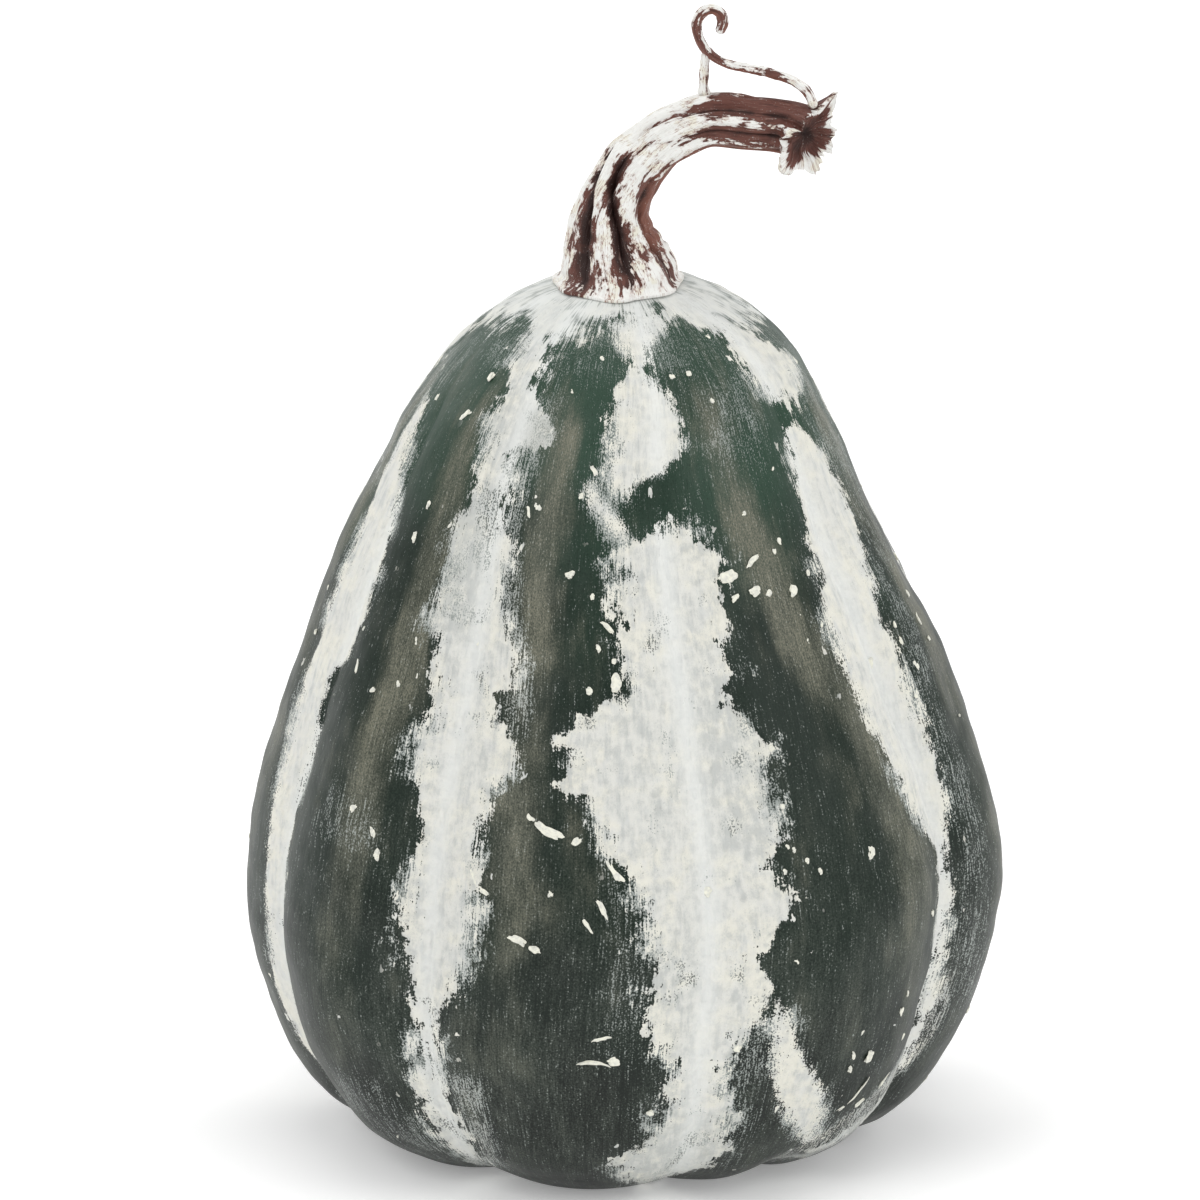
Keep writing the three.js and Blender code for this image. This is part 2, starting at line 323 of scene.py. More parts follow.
def add_skin(name: str, rows: int, sides: int, shape: Callable[[Array, Array], Array]) -> Piece:
    """Adds a closed skin: a ball of rows and sides whose points are moved to their places.

    Args:
        name: The new object's name.
        rows: Steps from the bottom pole to the top pole.
        sides: Steps round.
        shape: Gives the places, in millimetres, for the rows' and the sides' numbers.

    Returns:
        The new object, at the origin, with smooth faces that point outwards.
    """
    select_none()
    bpy.ops.mesh.primitive_uv_sphere_add(segments=sides, ring_count=rows, radius=1.0)
    piece = name_new(name)
    ball = read_points(piece)
    row = np.rint((1.0 - np.arccos(np.clip(ball[:, 2], -1.0, 1.0)) / math.pi) * rows).astype(int)
    side = np.rint(np.arctan2(ball[:, 1], ball[:, 0]) / (2.0 * math.pi) * sides).astype(int) % sides
    move_points(piece, shape(row, side))
    bpy.ops.object.shade_smooth()
    return piece


def store(piece: Piece, masks: Arrays) -> None:
    """Stores numbers and vectors for each point of a mesh, for its material to read.

    Args:
        piece: The mesh object.
        masks: One number or one row of three for each point, by the attribute's name.
    """
    for name, values in masks.items():
        kind, key = ("FLOAT_VECTOR", "vector") if values.ndim == 2 else ("FLOAT", "value")
        layer = piece.data.attributes.new(name, kind, "POINT")
        layer.data.foreach_set(key, np.ascontiguousarray(values, np.float32).ravel())


def join(name: str, pieces: list[Piece]) -> Piece:
    """Joins several mesh objects in one.

    Args:
        name: The name of the result.
        pieces: The objects, the first of which is kept.

    Returns:
        The joined object.
    """
    select_none()
    for piece in pieces:
        piece.select_set(True)
    bpy.context.view_layer.objects.active = pieces[0]
    bpy.ops.object.join()
    return name_new(name)


# ------------------------------------------------------------------------------ material work


def tone(red: int, green: int, blue: int) -> Colour:
    """The linear colour of an 8-bit display colour."""
    linear = [((c / 255 + 0.055) / 1.055) ** 2.4 if c > 10 else c / 3294.6 for c in (red, green, blue)]
    return linear[0], linear[1], linear[2], 1.0


@dataclass(frozen=True)
class Noise:
    """A kind of noise: the size of its clouds in millimetres, its detail and its roughness.

    Along is how much slower it changes up the brush lines: 1 is round, and less is drawn out.
    """

    size: float
    detail: float = 2.0
    rough: float = 0.5
    along: float = 1.0


class Sheet:
    """Adds nodes to one node tree and wires them."""

    def __init__(self, tree: Tree) -> None:
        """Starts on a tree whose nodes are already there."""
        self.tree = tree

    def add(self, kind: str, feeds: Feeds, **settings: object) -> Node:
        """Adds a node.

        Args:
            kind: The node's type.
            feeds: What goes into its sockets, by name or number.
            settings: The node's own settings.

        Returns:
            The node.
        """
        node = self.tree.nodes.new(kind)
        for name, setting in settings.items():
            setattr(node, name, setting)
        self.feed(node, feeds)
        return node

    def feed(self, node: Node, feeds: Feeds) -> None:
        """Wires a node's sockets to other ones, or sets their own values."""
        for name, feed in feeds.items():
            if isinstance(feed, Socket):
                self.tree.links.new(feed, node.inputs[name])
            else:
                node.inputs[name].default_value = feed

    def math(self, operation: str, a: Feed, b: Feed = 0.0, c: Feed = 0.0) -> Socket:
        """The result of an operation on one, two or three numbers."""
        return self.add("ShaderNodeMath", {0: a, 1: b, 2: c}, operation=operation).outputs[0]

    def times(self, a: Feed, b: Feed) -> Socket:
        """The product of two numbers."""
        return self.math("MULTIPLY", a, b)

    def plus(self, a: Feed, b: Feed) -> Socket:
        """The sum of two numbers."""
        return self.math("ADD", a, b)

    def weigh(self, number: Feed, by: Feed, onto: Feed) -> Socket:
        """A number times a weight, added onto another number."""
        return self.math("MULTIPLY_ADD", number, by, onto)

    def ease(self, number: Feed, low: Feed, high: Feed, start: Feed = 0.0, end: Feed = 1.0) -> Socket:
        """Eases from start, where the number is low, to end, where it is high."""
        feeds = {"Value": number, "From Min": low, "From Max": high, "To Min": start, "To Max": end}
        return self.add("ShaderNodeMapRange", feeds, interpolation_type="SMOOTHSTEP").outputs[0]

    def mix(self, share: Feed, a: Feed, b: Feed) -> Socket:
        """Mixes two colours: all of the first at 0, all of the second at 1."""
        return self.add("ShaderNodeMix", {0: share, 6: a, 7: b}, data_type="RGBA").outputs[2]

    def lay(self, under: Feed, over: Feed, number: Feed, *eased: float) -> Socket:
        """Lays a colour over another one, by a number that is eased as ease does it."""
        return self.mix(self.ease(number, *eased), under, over)

    def vector(self, operation: str, feeds: Feeds) -> Socket:
        """The result of an operation on vectors."""
        return self.add("ShaderNodeVectorMath", feeds, operation=operation).outputs[0]

    def stretch(self, vector: Feed, along: float) -> Socket:
        """A vector with its third axis multiplied."""
        return self.vector("MULTIPLY", {0: vector, 1: (1.0, 1.0, along)})

    def clouds(self, place: Feed, kind: Noise) -> Socket:
        """Noise around 0, from about -0.3 to 0.3."""
        place = place if kind.along == 1.0 else self.stretch(place, kind.along)
        feeds = {"Vector": place, "Scale": 1.0 / kind.size, "Detail": kind.detail, "Roughness": kind.rough}
        return self.plus(self.add("ShaderNodeTexNoise", feeds).outputs[0], -0.5)

    def read(self, name: str, output: str = "Fac") -> Socket:
        """Reads what a mesh stores for its points."""
        return self.add("ShaderNodeAttribute", {}, attribute_name=name).outputs[output]

    def place(self) -> Socket:
        """The place on the piece, in millimetres."""
        return self.vector("SCALE", {0: self.add("ShaderNodeTexCoord", {}).outputs["Object"], 3: 1.0 / METRE})

    def use(self, effect: Tree, feeds: Feeds) -> Node:
        """Places a shared effect with its own values."""
        return self.add("ShaderNodeGroup", feeds, node_tree=effect)


class Port(Enum):
    """Kinds of socket that a shared effect has."""

    NUMBER = "NodeSocketFloat"
    VECTOR = "NodeSocketVector"


def start_effect(name: str, vectors: tuple[str, ...], numbers: tuple[str, ...],
                 gives: tuple[str, ...]) -> tuple[Sheet, dict[str, Socket], Node]:
    """Starts a shared effect: a node group with named sockets.

    Args:
        name: The effect's name.
        vectors: Its inputs that are vectors.
        numbers: Its inputs that are numbers.
        gives: Its outputs, all numbers.

    Returns:
        A sheet on the group, its inputs by name, and its output node.
    """
    group = bpy.data.node_groups.new(name, "ShaderNodeTree")
    ports = (("INPUT", vectors, Port.VECTOR), ("INPUT", numbers, Port.NUMBER), ("OUTPUT", gives, Port.NUMBER))
    for way, labels, kind in ports:
        for label in labels:
            group.interface.new_socket(label, in_out=way, socket_type=kind.value)
    entry = group.nodes.new("NodeGroupInput")
    given = {label: entry.outputs[label] for label in vectors + numbers}
    return Sheet(group), given, group.nodes.new("NodeGroupOutput")


class Effects:
    """The effects that several finishes share, each built once."""

    BROAD = Noise(7.0, 1.0)
    TORN = Noise(2.8, 3.0, 0.72, 0.6)
    DRY = Noise(15.0, 1.0)
    HAIRS = Noise(0.32, 1.0, along=0.05)
    GRAIN = Noise(0.3, 1.0, 0.6, 0.6)
    HALO = 7.0
    WOBBLE_SCALE = 1.3
    WOBBLE = 1.3
    FLECK_EDGE = 0.008
    FLECK_INPUTS = ("Spacing", "Largest", "Share")

    def __init__(self) -> None:
        """Builds the two effects."""
        self.broken_edge = self._broken_edge()
        self.flecks = self._flecks()

    def _broken_edge(self) -> Tree:
        """Brushed paint that breaks up at its edge: crisp in places, sandy and dragged out in others.

        Its fine marks come out too: the grain, the long hairs, and a haze of both round the paint.
        """
        sheet, given, exit_node = start_effect(
            "broken_edge", ("Place", "Brush"), ("Reach", "Ragged", "Drag", "Film_and_sheen"),
            ("Cover", "Reach", "Haze", "Grain", "Hairs"))
        place, brush = given["Place"], given["Brush"]
        broad = sheet.times(sheet.clouds(place, self.BROAD), 8.0)
        broad = sheet.weigh(sheet.clouds(brush, self.TORN), 17.0, broad)
        reach = sheet.weigh(broad, given["Ragged"], given["Reach"])
        dry = sheet.ease(sheet.clouds(place, self.DRY), -0.1, 0.12)
        hairs = sheet.clouds(brush, self.HAIRS)
        grain = sheet.clouds(brush, self.GRAIN)
        pulled = sheet.weigh(sheet.times(hairs, given["Drag"]), sheet.weigh(dry, 9.0, 3.0), reach)
        cover = sheet.ease(sheet.weigh(grain, sheet.weigh(dry, 9.0, 4.0), pulled), -0.5, 0.5)
        halo = sheet.times(sheet.ease(reach, -self.HALO, 1.0), sheet.weigh(dry, 0.7, 0.3))
        # The thin coats come in here; one of them is a painted highlight.
        film_and_sheen = sheet.math("MAXIMUM", halo, given["Film_and_sheen"])
        film_and_sheen = sheet.times(film_and_sheen, sheet.weigh(dry, 0.25, 0.35))
        haze = sheet.ease(sheet.weigh(grain, 1.1, sheet.weigh(hairs, 0.8, film_and_sheen)), 0.2, 0.5)
        sheet.feed(exit_node, {"Cover": cover, "Reach": reach, "Haze": haze, "Grain": grain, "Hairs": hairs})
        return sheet.tree

    def _flecks(self) -> Tree:
        """Small uneven flecks, scattered at random."""
        sheet, given, exit_node = start_effect("flecks", ("Place",), self.FLECK_INPUTS, ("Mask",))
        place, spacing = given["Place"], given["Spacing"]
        wobble = sheet.add("ShaderNodeTexNoise", {"Vector": place, "Scale": self.WOBBLE_SCALE, "Detail": 0.0})
        aside = sheet.vector("SCALE", {0: wobble.outputs["Color"], 3: self.WOBBLE})
        moved = sheet.vector("ADD", {0: place, 1: aside})
        spread = sheet.vector("SCALE", {0: moved, 3: sheet.math("DIVIDE", 1.0, spacing)})
        cells = sheet.add("ShaderNodeTexVoronoi", {"Vector": spread, "Scale": 1.0})
        lot = sheet.add("ShaderNodeSeparateColor", {0: cells.outputs["Color"]}).outputs[0]
        drawn = sheet.ease(lot, sheet.math("SUBTRACT", 1.0, given["Share"]), 1.0)
        size = sheet.math("DIVIDE", sheet.times(drawn, given["Largest"]), spacing)
        inside = sheet.math("SUBTRACT", size, cells.outputs["Distance"])
        sheet.feed(exit_node, {"Mask": sheet.ease(inside, 0.0, self.FLECK_EDGE)})
        return sheet.tree


def new_material(name: str) -> tuple[bpy.types.Material, Sheet, Node]:
    """A new material with its Principled shader.

    Args:
        name: The material's name.

    Returns:
        The material, a sheet on its nodes, and the shader's node.
    """
    material = bpy.data.materials.new(name)
    material.use_nodes = True
    shader = next(node for node in material.node_tree.nodes if node.type == "BSDF_PRINCIPLED")
    return material, Sheet(material.node_tree), shader


def wire_shader(sheet: Sheet, shader: Node, colour: Feed, rough: Feed, gloss: float,
                relief: Feed) -> None:
    """Wires a shader to its colour, roughness and relief.

    Args:
        sheet: The sheet of the material's nodes.
        shader: The shader's node.
        colour: Its colour.
        rough: Its roughness.
        gloss: The strength of its highlights.
        relief: The height of its relief, in millimetres.
    """
    bump_node = sheet.add("ShaderNodeBump", {"Height": relief, "Distance": METRE, "Strength": 1.0})
    sheet.feed(shader, {"Base Color": colour, "Roughness": rough, "Specular IOR Level": gloss,
                        "Normal": bump_node.outputs["Normal"]})


@dataclass(frozen=True)
class SkinPaint:
    """The body's finish: dusty dark greens, an olive-brown glazing on the ribs that is partly a painted
    sheen, and broken ivory stripes.
    """

    deep: Colour = tone(12, 30, 20)
    low: Colour = tone(17, 23, 19)
    high: Colour = tone(40, 66, 51)
    pore: Colour = tone(8, 15, 11)
    bronze_and_sheen: Colour = tone(102, 103, 90)
    gold_and_sheen: Colour = tone(134, 131, 112)
    sand: Colour = tone(80, 87, 79)
    ivory: Colour = tone(217, 217, 211)
    cream: Colour = tone(225, 223, 211)
    cool: Colour = tone(202, 204, 201)
    grey_and_lump_shade: Colour = tone(182, 185, 182)
    groove_highlight: Colour = tone(227, 229, 226)
    wash: Colour = tone(215, 218, 216)
    thin: Colour = tone(158, 164, 160)
    green_rough: float = 0.46
    ivory_rough: float = 0.6
    grainy_rough: float = 0.2
    gloss: float = 0.26
    streaks: Noise = Noise(1.3, 2.0, 0.65, 0.16)
    patches: Noise = Noise(7.0, 2.0, 0.65)
    clumps: Noise = Noise(2.6, 1.0, 0.6)
    levels: Noise = Noise(34.0, 1.0)
    softness: Noise = Noise(8.0, 2.0, 0.65, 0.32)
    wear: Noise = Noise(9.0, 1.0)
    specks: tuple[float, float, float] = (10.0, 0.9, 0.3)  # spacing, largest, share
    beads: tuple[float, float, float] = (4.0, 0.8, 0.4)
    bead_stretch: float = 0.6
    clump_relief: float = 0.12

    def material(self, effects: Effects) -> bpy.types.Material:
        """Builds the material.

        Args:
            effects: The shared effects.

        Returns:
            The material, which reads the body's stored masks.
        """
        material, sheet, shader = new_material("painted_skin")
        place, brush = sheet.place(), sheet.read("brush", "Vector")
        film_and_sheen, wash_at, stripe = (sheet.read(name) for name in ("film_and_sheen", "wash", "stripe"))
        edge = sheet.use(effects.broken_edge, {
            "Place": place, "Brush": brush, "Reach": stripe, "Ragged": sheet.read("ragged"),
            "Drag": sheet.read("drag"), "Film_and_sheen": film_and_sheen})
        reach, grain = edge.outputs["Reach"], edge.outputs["Grain"]
        marks = sheet.weigh(edge.outputs["Hairs"], 0.55, grain)
        streaks = sheet.clouds(brush, self.streaks)
        patchy, clumps = sheet.clouds(place, self.patches), sheet.clouds(place, self.clumps)
        ivory = self._ivory(sheet, reach, grain, streaks, patchy, clumps)
        ivory = sheet.lay(ivory, self.wash, wash_at, -4.0, 5.0, 0.0, 0.65)
        # The thin pale coat; one of its patches is a painted highlight.
        veil = sheet.lay(self.thin, ivory, film_and_sheen, 0.4, 1.0)
        haze = sheet.times(edge.outputs["Haze"], 0.9)
        green = sheet.mix(haze, self._green(sheet, place, brush, marks), veil)
        near = sheet.weigh(patchy, 14.0, sheet.weigh(streaks, 12.0, sheet.weigh(grain, 7.0, wash_at)))
        thick = sheet.ease(sheet.plus(streaks, patchy), -0.26, 0.05, 0.45, 1.0)
        washed = sheet.times(sheet.ease(near, -1.2, 1.6), thick)
        painted = sheet.times(edge.outputs["Cover"], self._whole(sheet, place, marks))
        cover = sheet.math("MAXIMUM", painted, washed)
        cover = sheet.math("MAXIMUM", cover, self._dots(sheet, effects, place, stripe))
        rough = sheet.ease(cover, 0.0, 1.0, self.green_rough, self.ivory_rough)
        coat = sheet.weigh(clumps, 0.8, sheet.weigh(streaks, 0.5, 0.25))
        height = sheet.times(sheet.ease(stripe, -0.6, 1.4), coat)
        wire_shader(sheet, shader, sheet.mix(cover, green, ivory),
                    sheet.weigh(grain, self.grainy_rough, rough), self.gloss,
                    sheet.weigh(clumps, self.clump_relief, height))
        return material

    def _green(self, sheet: Sheet, place: Feed, brush: Feed, marks: Feed) -> Socket:
        """The coat under the stripes: sandy low down, lighter on the shoulders, and an olive-brown glazing on
        the ribs that is partly a painted sheen on their crests.
        """
        level = sheet.read("level")
        cloudy = sheet.weigh(sheet.clouds(place, self.levels), 110.0, level)
        colour = sheet.lay(self.deep, self.low, cloudy, 88.0, 16.0)
        colour = sheet.lay(colour, self.high, cloudy, 145.0, 215.0, 0.0, 0.95)
        colour = sheet.lay(colour, self.pore, marks, -0.05, -0.32, 0.0, 0.5)
        soft = sheet.clouds(brush, self.softness)
        dust = sheet.weigh(marks, 1.15, sheet.times(soft, 0.9))
        # Olive-brown glazing on the ribs, partly a painted sheen: it lightens their crests as a soft
        # highlight would.
        bloom_and_sheen = sheet.ease(sheet.weigh(soft, 1.5, sheet.read("glaze_and_sheen")), 0.0, 1.05)
        colour = sheet.mix(sheet.times(bloom_and_sheen, sheet.ease(dust, -0.28, 0.2, 0.3, 0.95)), colour, self.bronze_and_sheen)
        colour = sheet.mix(sheet.times(bloom_and_sheen, sheet.ease(dust, 0.06, 0.34, 0.0, 0.6)), colour, self.gold_and_sheen)
        sandy = sheet.ease(sheet.weigh(soft, 120.0, level), 150.0, 30.0, 0.14, 0.75)
        colour = sheet.mix(sheet.times(sandy, sheet.ease(dust, -0.3, 0.5)), colour, self.sand)
        return sheet.lay(colour, self.thin, marks, 0.22, 0.38, 0.0, 0.35)

    def _dots(self, sheet: Sheet, effects: Effects, place: Feed, stripe: Feed) -> Socket:
        """Spatter: a few specks everywhere, and more beads beside the stripes."""
        dots = []
        for at, values in ((place, self.specks), (sheet.stretch(place, self.bead_stretch), self.beads)):
            feeds = dict(zip(effects.FLECK_INPUTS, values))
            dots.append(sheet.use(effects.flecks, {"Place": at, **feeds}).outputs[0])
        specks, beads = dots
        return sheet.math("MAXIMUM", specks, sheet.times(beads, sheet.ease(stripe, -12.0, -2.0)))

    def _whole(self, sheet: Sheet, place: Feed, marks: Feed) -> Socket:
        """How whole the ivory is: pitted and scratched through where it is worn."""
        worn = sheet.weigh(sheet.read("worn"), 0.3, sheet.clouds(place, self.wear))
        bite = sheet.ease(worn, 0.07, 0.42, 0.55, 0.04)
        return sheet.ease(sheet.math("SUBTRACT", marks, bite), 0.05, -0.02, 0.1, 1.0)

    def _ivory(self, sheet: Sheet, reach: Feed, grain: Feed, streaks: Feed, patchy: Feed,
               clumps: Feed) -> Socket:
        """The ivory paint: creamy by its edges, cooler and streaky inside, with a painted highlight down the
        grooves.
        """
        tinted = sheet.weigh(sheet.ease(reach, 9.0, 2.0), 0.12, patchy)
        colour = sheet.lay(self.ivory, self.cream, tinted, -0.04, 0.22, 0.0, 0.85)
        colour = sheet.lay(colour, self.cool, sheet.weigh(patchy, -0.8, streaks), 0.0, 0.3, 0.0, 0.85)
        # Darker mottling: partly real streaks and wear, partly a painted shade on the paint's lumps, which
        # the relief also raises.
        mottled_and_lump_shade = sheet.weigh(clumps, 0.75, sheet.weigh(streaks, 0.6, sheet.times(sheet.read("worn"), 0.3)))
        colour = sheet.lay(colour, self.grey_and_lump_shade, sheet.weigh(grain, 0.5, mottled_and_lump_shade), -0.04, 0.44, 0.0, 0.75)
        colour = sheet.lay(colour, self.thin, grain, -0.12, -0.3, 0.0, 0.35)
        # Painted highlight: the ivory is lighter along the middle of each groove.
        return sheet.mix(sheet.times(sheet.read("crease_highlight"), 0.7), colour, self.groove_highlight)


@dataclass(frozen=True)
class ChippedPaint:
    """Ivory paint that has chipped off a dusty red-brown coat, on the stem and the tendril."""

    name: str
    brown: Colour = tone(103, 64, 55)
    dark: Colour = tone(46, 27, 23)
    red: Colour = tone(126, 80, 66)
    ivory: Colour = tone(236, 236, 232)
    cream: Colour = tone(226, 221, 203)
    stain: Colour = tone(186, 154, 142)
    rust: Colour = tone(142, 102, 90)
    brown_rough: float = 0.55
    ivory_rough: float = 0.6
    gloss: float = 0.3
    grain: Noise = Noise(0.36, 2.0, 0.75)
    blotches: Noise = Noise(4.0, 3.0)
    lines: Noise = Noise(0.7, 3.0, 0.6, 0.14)
    chips: Noise = Noise(1.5, 3.0, 0.62, 0.5)
    thickness: float = 0.25
    grain_relief: float = 0.06
    line_relief: float = 0.5

    def material(self) -> bpy.types.Material:
        """Builds the material, which reads the piece's stored masks."""
        material, sheet, shader = new_material(self.name)
        place, brush = sheet.place(), sheet.read("brush", "Vector")
        grain, blotches = sheet.clouds(place, self.grain), sheet.clouds(place, self.blotches)
        lines, chips = sheet.clouds(brush, self.lines), sheet.clouds(brush, self.chips)
        # Painted shade: the coat darkens in the stem's grooves and dish, and under the tendril.
        coat = sheet.lay(self.brown, self.dark, sheet.weigh(blotches, 0.9, sheet.read("hollow")), 0.1, 0.7)
        coat = sheet.lay(coat, self.red, sheet.weigh(blotches, -1.2, sheet.read("warm")), 0.1, 0.8)
        coat = sheet.lay(coat, self.dark, lines, -0.02, -0.26, 0.0, 0.7)
        coat = sheet.lay(coat, self.stain, lines, 0.06, 0.26, 0.0, 0.35)
        coat = sheet.lay(coat, self.ivory, sheet.weigh(lines, 0.3, grain), 0.16, 0.24, 0.0, 0.6)
        reach = sheet.weigh(chips, 8.0, sheet.weigh(lines, 5.0, sheet.weigh(grain, 1.4, sheet.read("ivory"))))
        reach = sheet.weigh(sheet.read("wear"), -2.4, reach)
        shown = sheet.ease(reach, -0.12, 0.12)
        ivory = sheet.lay(self.ivory, self.cream, blotches, 0.0, 0.16, 0.0, 0.7)
        ivory = sheet.lay(ivory, self.stain, reach, 0.9, 0.1, 0.0, 0.5)
        cracks = sheet.ease(sheet.math("ABSOLUTE", lines), 0.03, 0.008)
        cracks = sheet.times(cracks, sheet.ease(blotches, -0.04, 0.1, 0.15, 0.9))
        ivory = sheet.mix(cracks, ivory, self.rust)
        height = sheet.weigh(grain, self.grain_relief, sheet.times(shown, self.thickness))
        wire_shader(sheet, shader, sheet.mix(shown, coat, ivory),
                    sheet.ease(shown, 0.0, 1.0, self.brown_rough, self.ivory_rough), self.gloss,
                    sheet.weigh(lines, self.line_relief, height))
        return material


@dataclass(frozen=True)
class ThickPaint:
    """The raised dabs of cream paint on the body."""

    cream: Colour = tone(234, 233, 218)
    shade: Colour = tone(214, 214, 204)
    rough: float = 0.58
    gloss: float = 0.5
    lumps: Noise = Noise(1.1, 2.0)
    lump_relief: float = 0.2

    def material(self) -> bpy.types.Material:
        """Builds the material."""
        material, sheet, shader = new_material("thick_cream_paint")
        lumps = sheet.clouds(sheet.place(), self.lumps)
        wire_shader(sheet, shader, sheet.lay(self.cream, self.shade, lumps, -0.1, 0.15), self.rough,
                    self.gloss, sheet.times(lumps, self.lump_relief))
        return material


# ------------------------------------------------------------------------------ the body


LEAST_RADIUS = 6.0  # nearer to the axis, a patch's edges would close up


@dataclass(frozen=True)
class Patch:
    """A painted patch of the body, by height: its left and right edges' bearings.

    Ragged is how broken its edge is, drag how far the brush pulls it out, and worn how pitted it is.
    """

    edges: Edges
    ragged: float = 1.0
    drag: float = 1.0
    worn: float = 0.4

    def reach(self, bearing: Array, level: Array, radius: Array) -> Array:
        """How far inside the patch's edge each place is, in millimetres, less than 0 outside."""
        levels, left, right = (np.array(column, float) for column in zip(*self.edges))
        low = np.interp(level, levels, left)
        high = np.interp(level, levels, right)
        aside = (high - low) / 2.0 - np.abs(bearing_gap(bearing, (low + high) / 2.0))
        along = np.minimum(level - levels[0], levels[-1] - level)
        return np.minimum(np.radians(aside) * np.maximum(radius, LEAST_RADIUS), along)


STRIPE_LEFT = Patch((
    (18, -73, -70), (30, -77, -73), (42, -77.5, -72.5), (54, -76.5, -71.5), (80, -77.5, -70.5),
    (102, -79, -70.5), (110, -79, -69.5), (119, -79, -70.5), (125, -79, -70.5), (128, -79, -70),
    (134, -77.5, -65), (140, -77.5, -63.5), (148, -77, -62), (156, -77, -62), (164, -78, -64),
    (170, -78.5, -66), (176, -79.5, -68.5), (184, -79, -72), (196, -79, -75)), 0.35, 0.5, 0.0)
STRIPE_FRONT_LEFT = Patch((
    (4, -34, -30), (17, -36, -29), (27, -37, -31), (41, -36, -31), (55, -35, -30), (62, -36, -27),
    (70, -37, -25), (86, -38, -24), (98, -36, -24.5), (112, -38, -24), (118, -40, -19), (123, -40, -19),
    (126, -37.5, -21.5), (131, -38, -23.5), (136, -38, -23.5), (138, -39, -20.5), (146, -40, -20),
    (150, -42.5, -22), (154, -40.5, -24), (161, -40, -25), (170, -42, -24.5), (177, -40, -27.5),
    (186, -38, -29), (192, -38.5, -30), (195, -39.5, -21), (198, -41, -19), (204, -40, -28),
    (210, -44, -30), (217, -50, -34), (222, -56, -40)), 0.9, 1.1, 0.45)
STRIPE_FRONT = Patch((
    (1, 7, 11), (7, 3, 15), (12, -1, 18), (17, 0, 22), (23, 6, 18), (30, 7.5, 20), (36, 7, 18),
    (43, 8, 16), (48, 7, 19), (54, 4.5, 22), (63, 4, 23), (72, 4, 20), (77, 3, 22), (81, 3, 26),
    (86, 2, 28), (90, 1.5, 24), (97, 1, 24), (101, -4, 27), (108, -6, 26), (115, -10, 24),
    (123, -10, 26), (127, -12, 25.5), (131, -8, 22), (135, -4, 20), (139, 1, 21.5), (149, 1, 22),
    (157, 0.5, 23), (164, 0, 23), (170, 0, 24), (173, 3, 20), (175, 10, 19), (177, 13, 15)), 1.15, 1.1, 0.42)
PATCH_FRONT_TOP = Patch((
    (184, 1, 3), (187, -1, 6), (189, -2, 12), (193, -2, 17), (196, -1, 18), (200, -2, 19), (203, -3, 18),
    (206, -2, 16), (209, -1, 12), (211, 2, 9), (214, 4.5, 8.5), (216, 2, 11), (218, -3, 20),
    (220, -9, 32), (222, -19, 42)), 0.7, 0.7, 0.3)
DASH_FRONT = Patch((
    (173, 2, 3.6), (176, -0.5, 2.4), (179, -3, 0.2), (181, -6, -1.6), (184, -7.5, -4), (186, -8, -6)),
    0.25, 0.1)
PATCH_OVER_FOLD = Patch((
    (15, 37.5, 39), (19, 34.5, 38.5), (25, 30.5, 37.5), (31, 28, 36), (36, 26.5, 33.5), (42, 25.5, 31),
    (50, 24.5, 28), (56, 24, 26), (61, 24, 25)), 0.35, 0.25, 0.25)
STRIPE_RIGHT = Patch((
    (26, 62, 65.5), (33, 63.5, 66.5), (44, 64.5, 67.5), (54, 64, 66.5), (64, 62.5, 66), (75, 61, 66),
    (87, 60, 66), (96, 57, 67), (104, 54.5, 67), (110, 52.5, 67), (122, 50, 66), (135, 48, 64.5),
    (147, 46.5, 64), (158, 49, 66.5), (165, 50, 69), (174, 51.5, 71), (184, 54, 69), (193, 58, 62)),
    0.6, 0.9, 0.1)
PATCH_RIGHT_TOP = Patch((
    (198, 61, 66), (200, 56, 72), (203, 52, 77), (206, 50, 78), (209, 50, 74), (212, 49, 69),
    (216, 47, 64), (220, 44, 62), (223, 40, 62)), 0.8, 0.9, 0.3)
STRIPE_RIGHT_SIDE = Patch((
    (14, 99, 103), (28, 98, 105), (44, 96, 106), (58, 97, 104), (72, 94, 106), (88, 93, 104),
    (101, 95, 108), (116, 95, 105), (130, 92, 103), (146, 93, 102), (160, 95, 104), (174, 96, 103),
    (186, 93, 101), (198, 90, 99)), 0.9, 1.1)
STRIPE_BACK_RIGHT = Patch((
    (4, 134, 140), (18, 130, 141), (30, 131, 145), (42, 129, 144), (56, 126, 147), (70, 124, 149),
    (82, 127, 146), (94, 129, 147), (108, 131, 146), (120, 134, 143), (131, 137, 142)), 1.1, 0.9)
PATCH_BACK_RIGHT_TOP = Patch((
    (158, 137, 141), (168, 134, 144), (178, 133, 147), (190, 130, 146), (200, 128, 143),
    (210, 126, 150), (219, 118, 158)), 0.9, 0.9)
STRIPE_BACK = Patch((
    (4, 173, 181), (14, 171, 183), (26, 172, 185), (40, 170, 184), (52, 173, 186), (66, 170, 188),
    (80, 168, 187), (92, 171, 185), (104, 169, 189), (118, 172, 190), (130, 174, 188), (144, 173, 187),
    (158, 175, 189), (170, 176, 186), (182, 177, 190), (194, 174, 188), (206, 172, 192),
    (217, 166, 196)), 1.0, 1.2)
STRIPE_BACK_LEFT = Patch((
    (12, 212, 216), (26, 210, 217), (40, 211, 218), (56, 209, 218), (70, 210, 219), (84, 208, 219),
    (98, 211, 221), (112, 213, 221), (126, 212, 223), (140, 214, 222), (154, 215, 221),
    (166, 214, 223), (180, 213, 222), (192, 210, 220)), 0.7, 0.9)
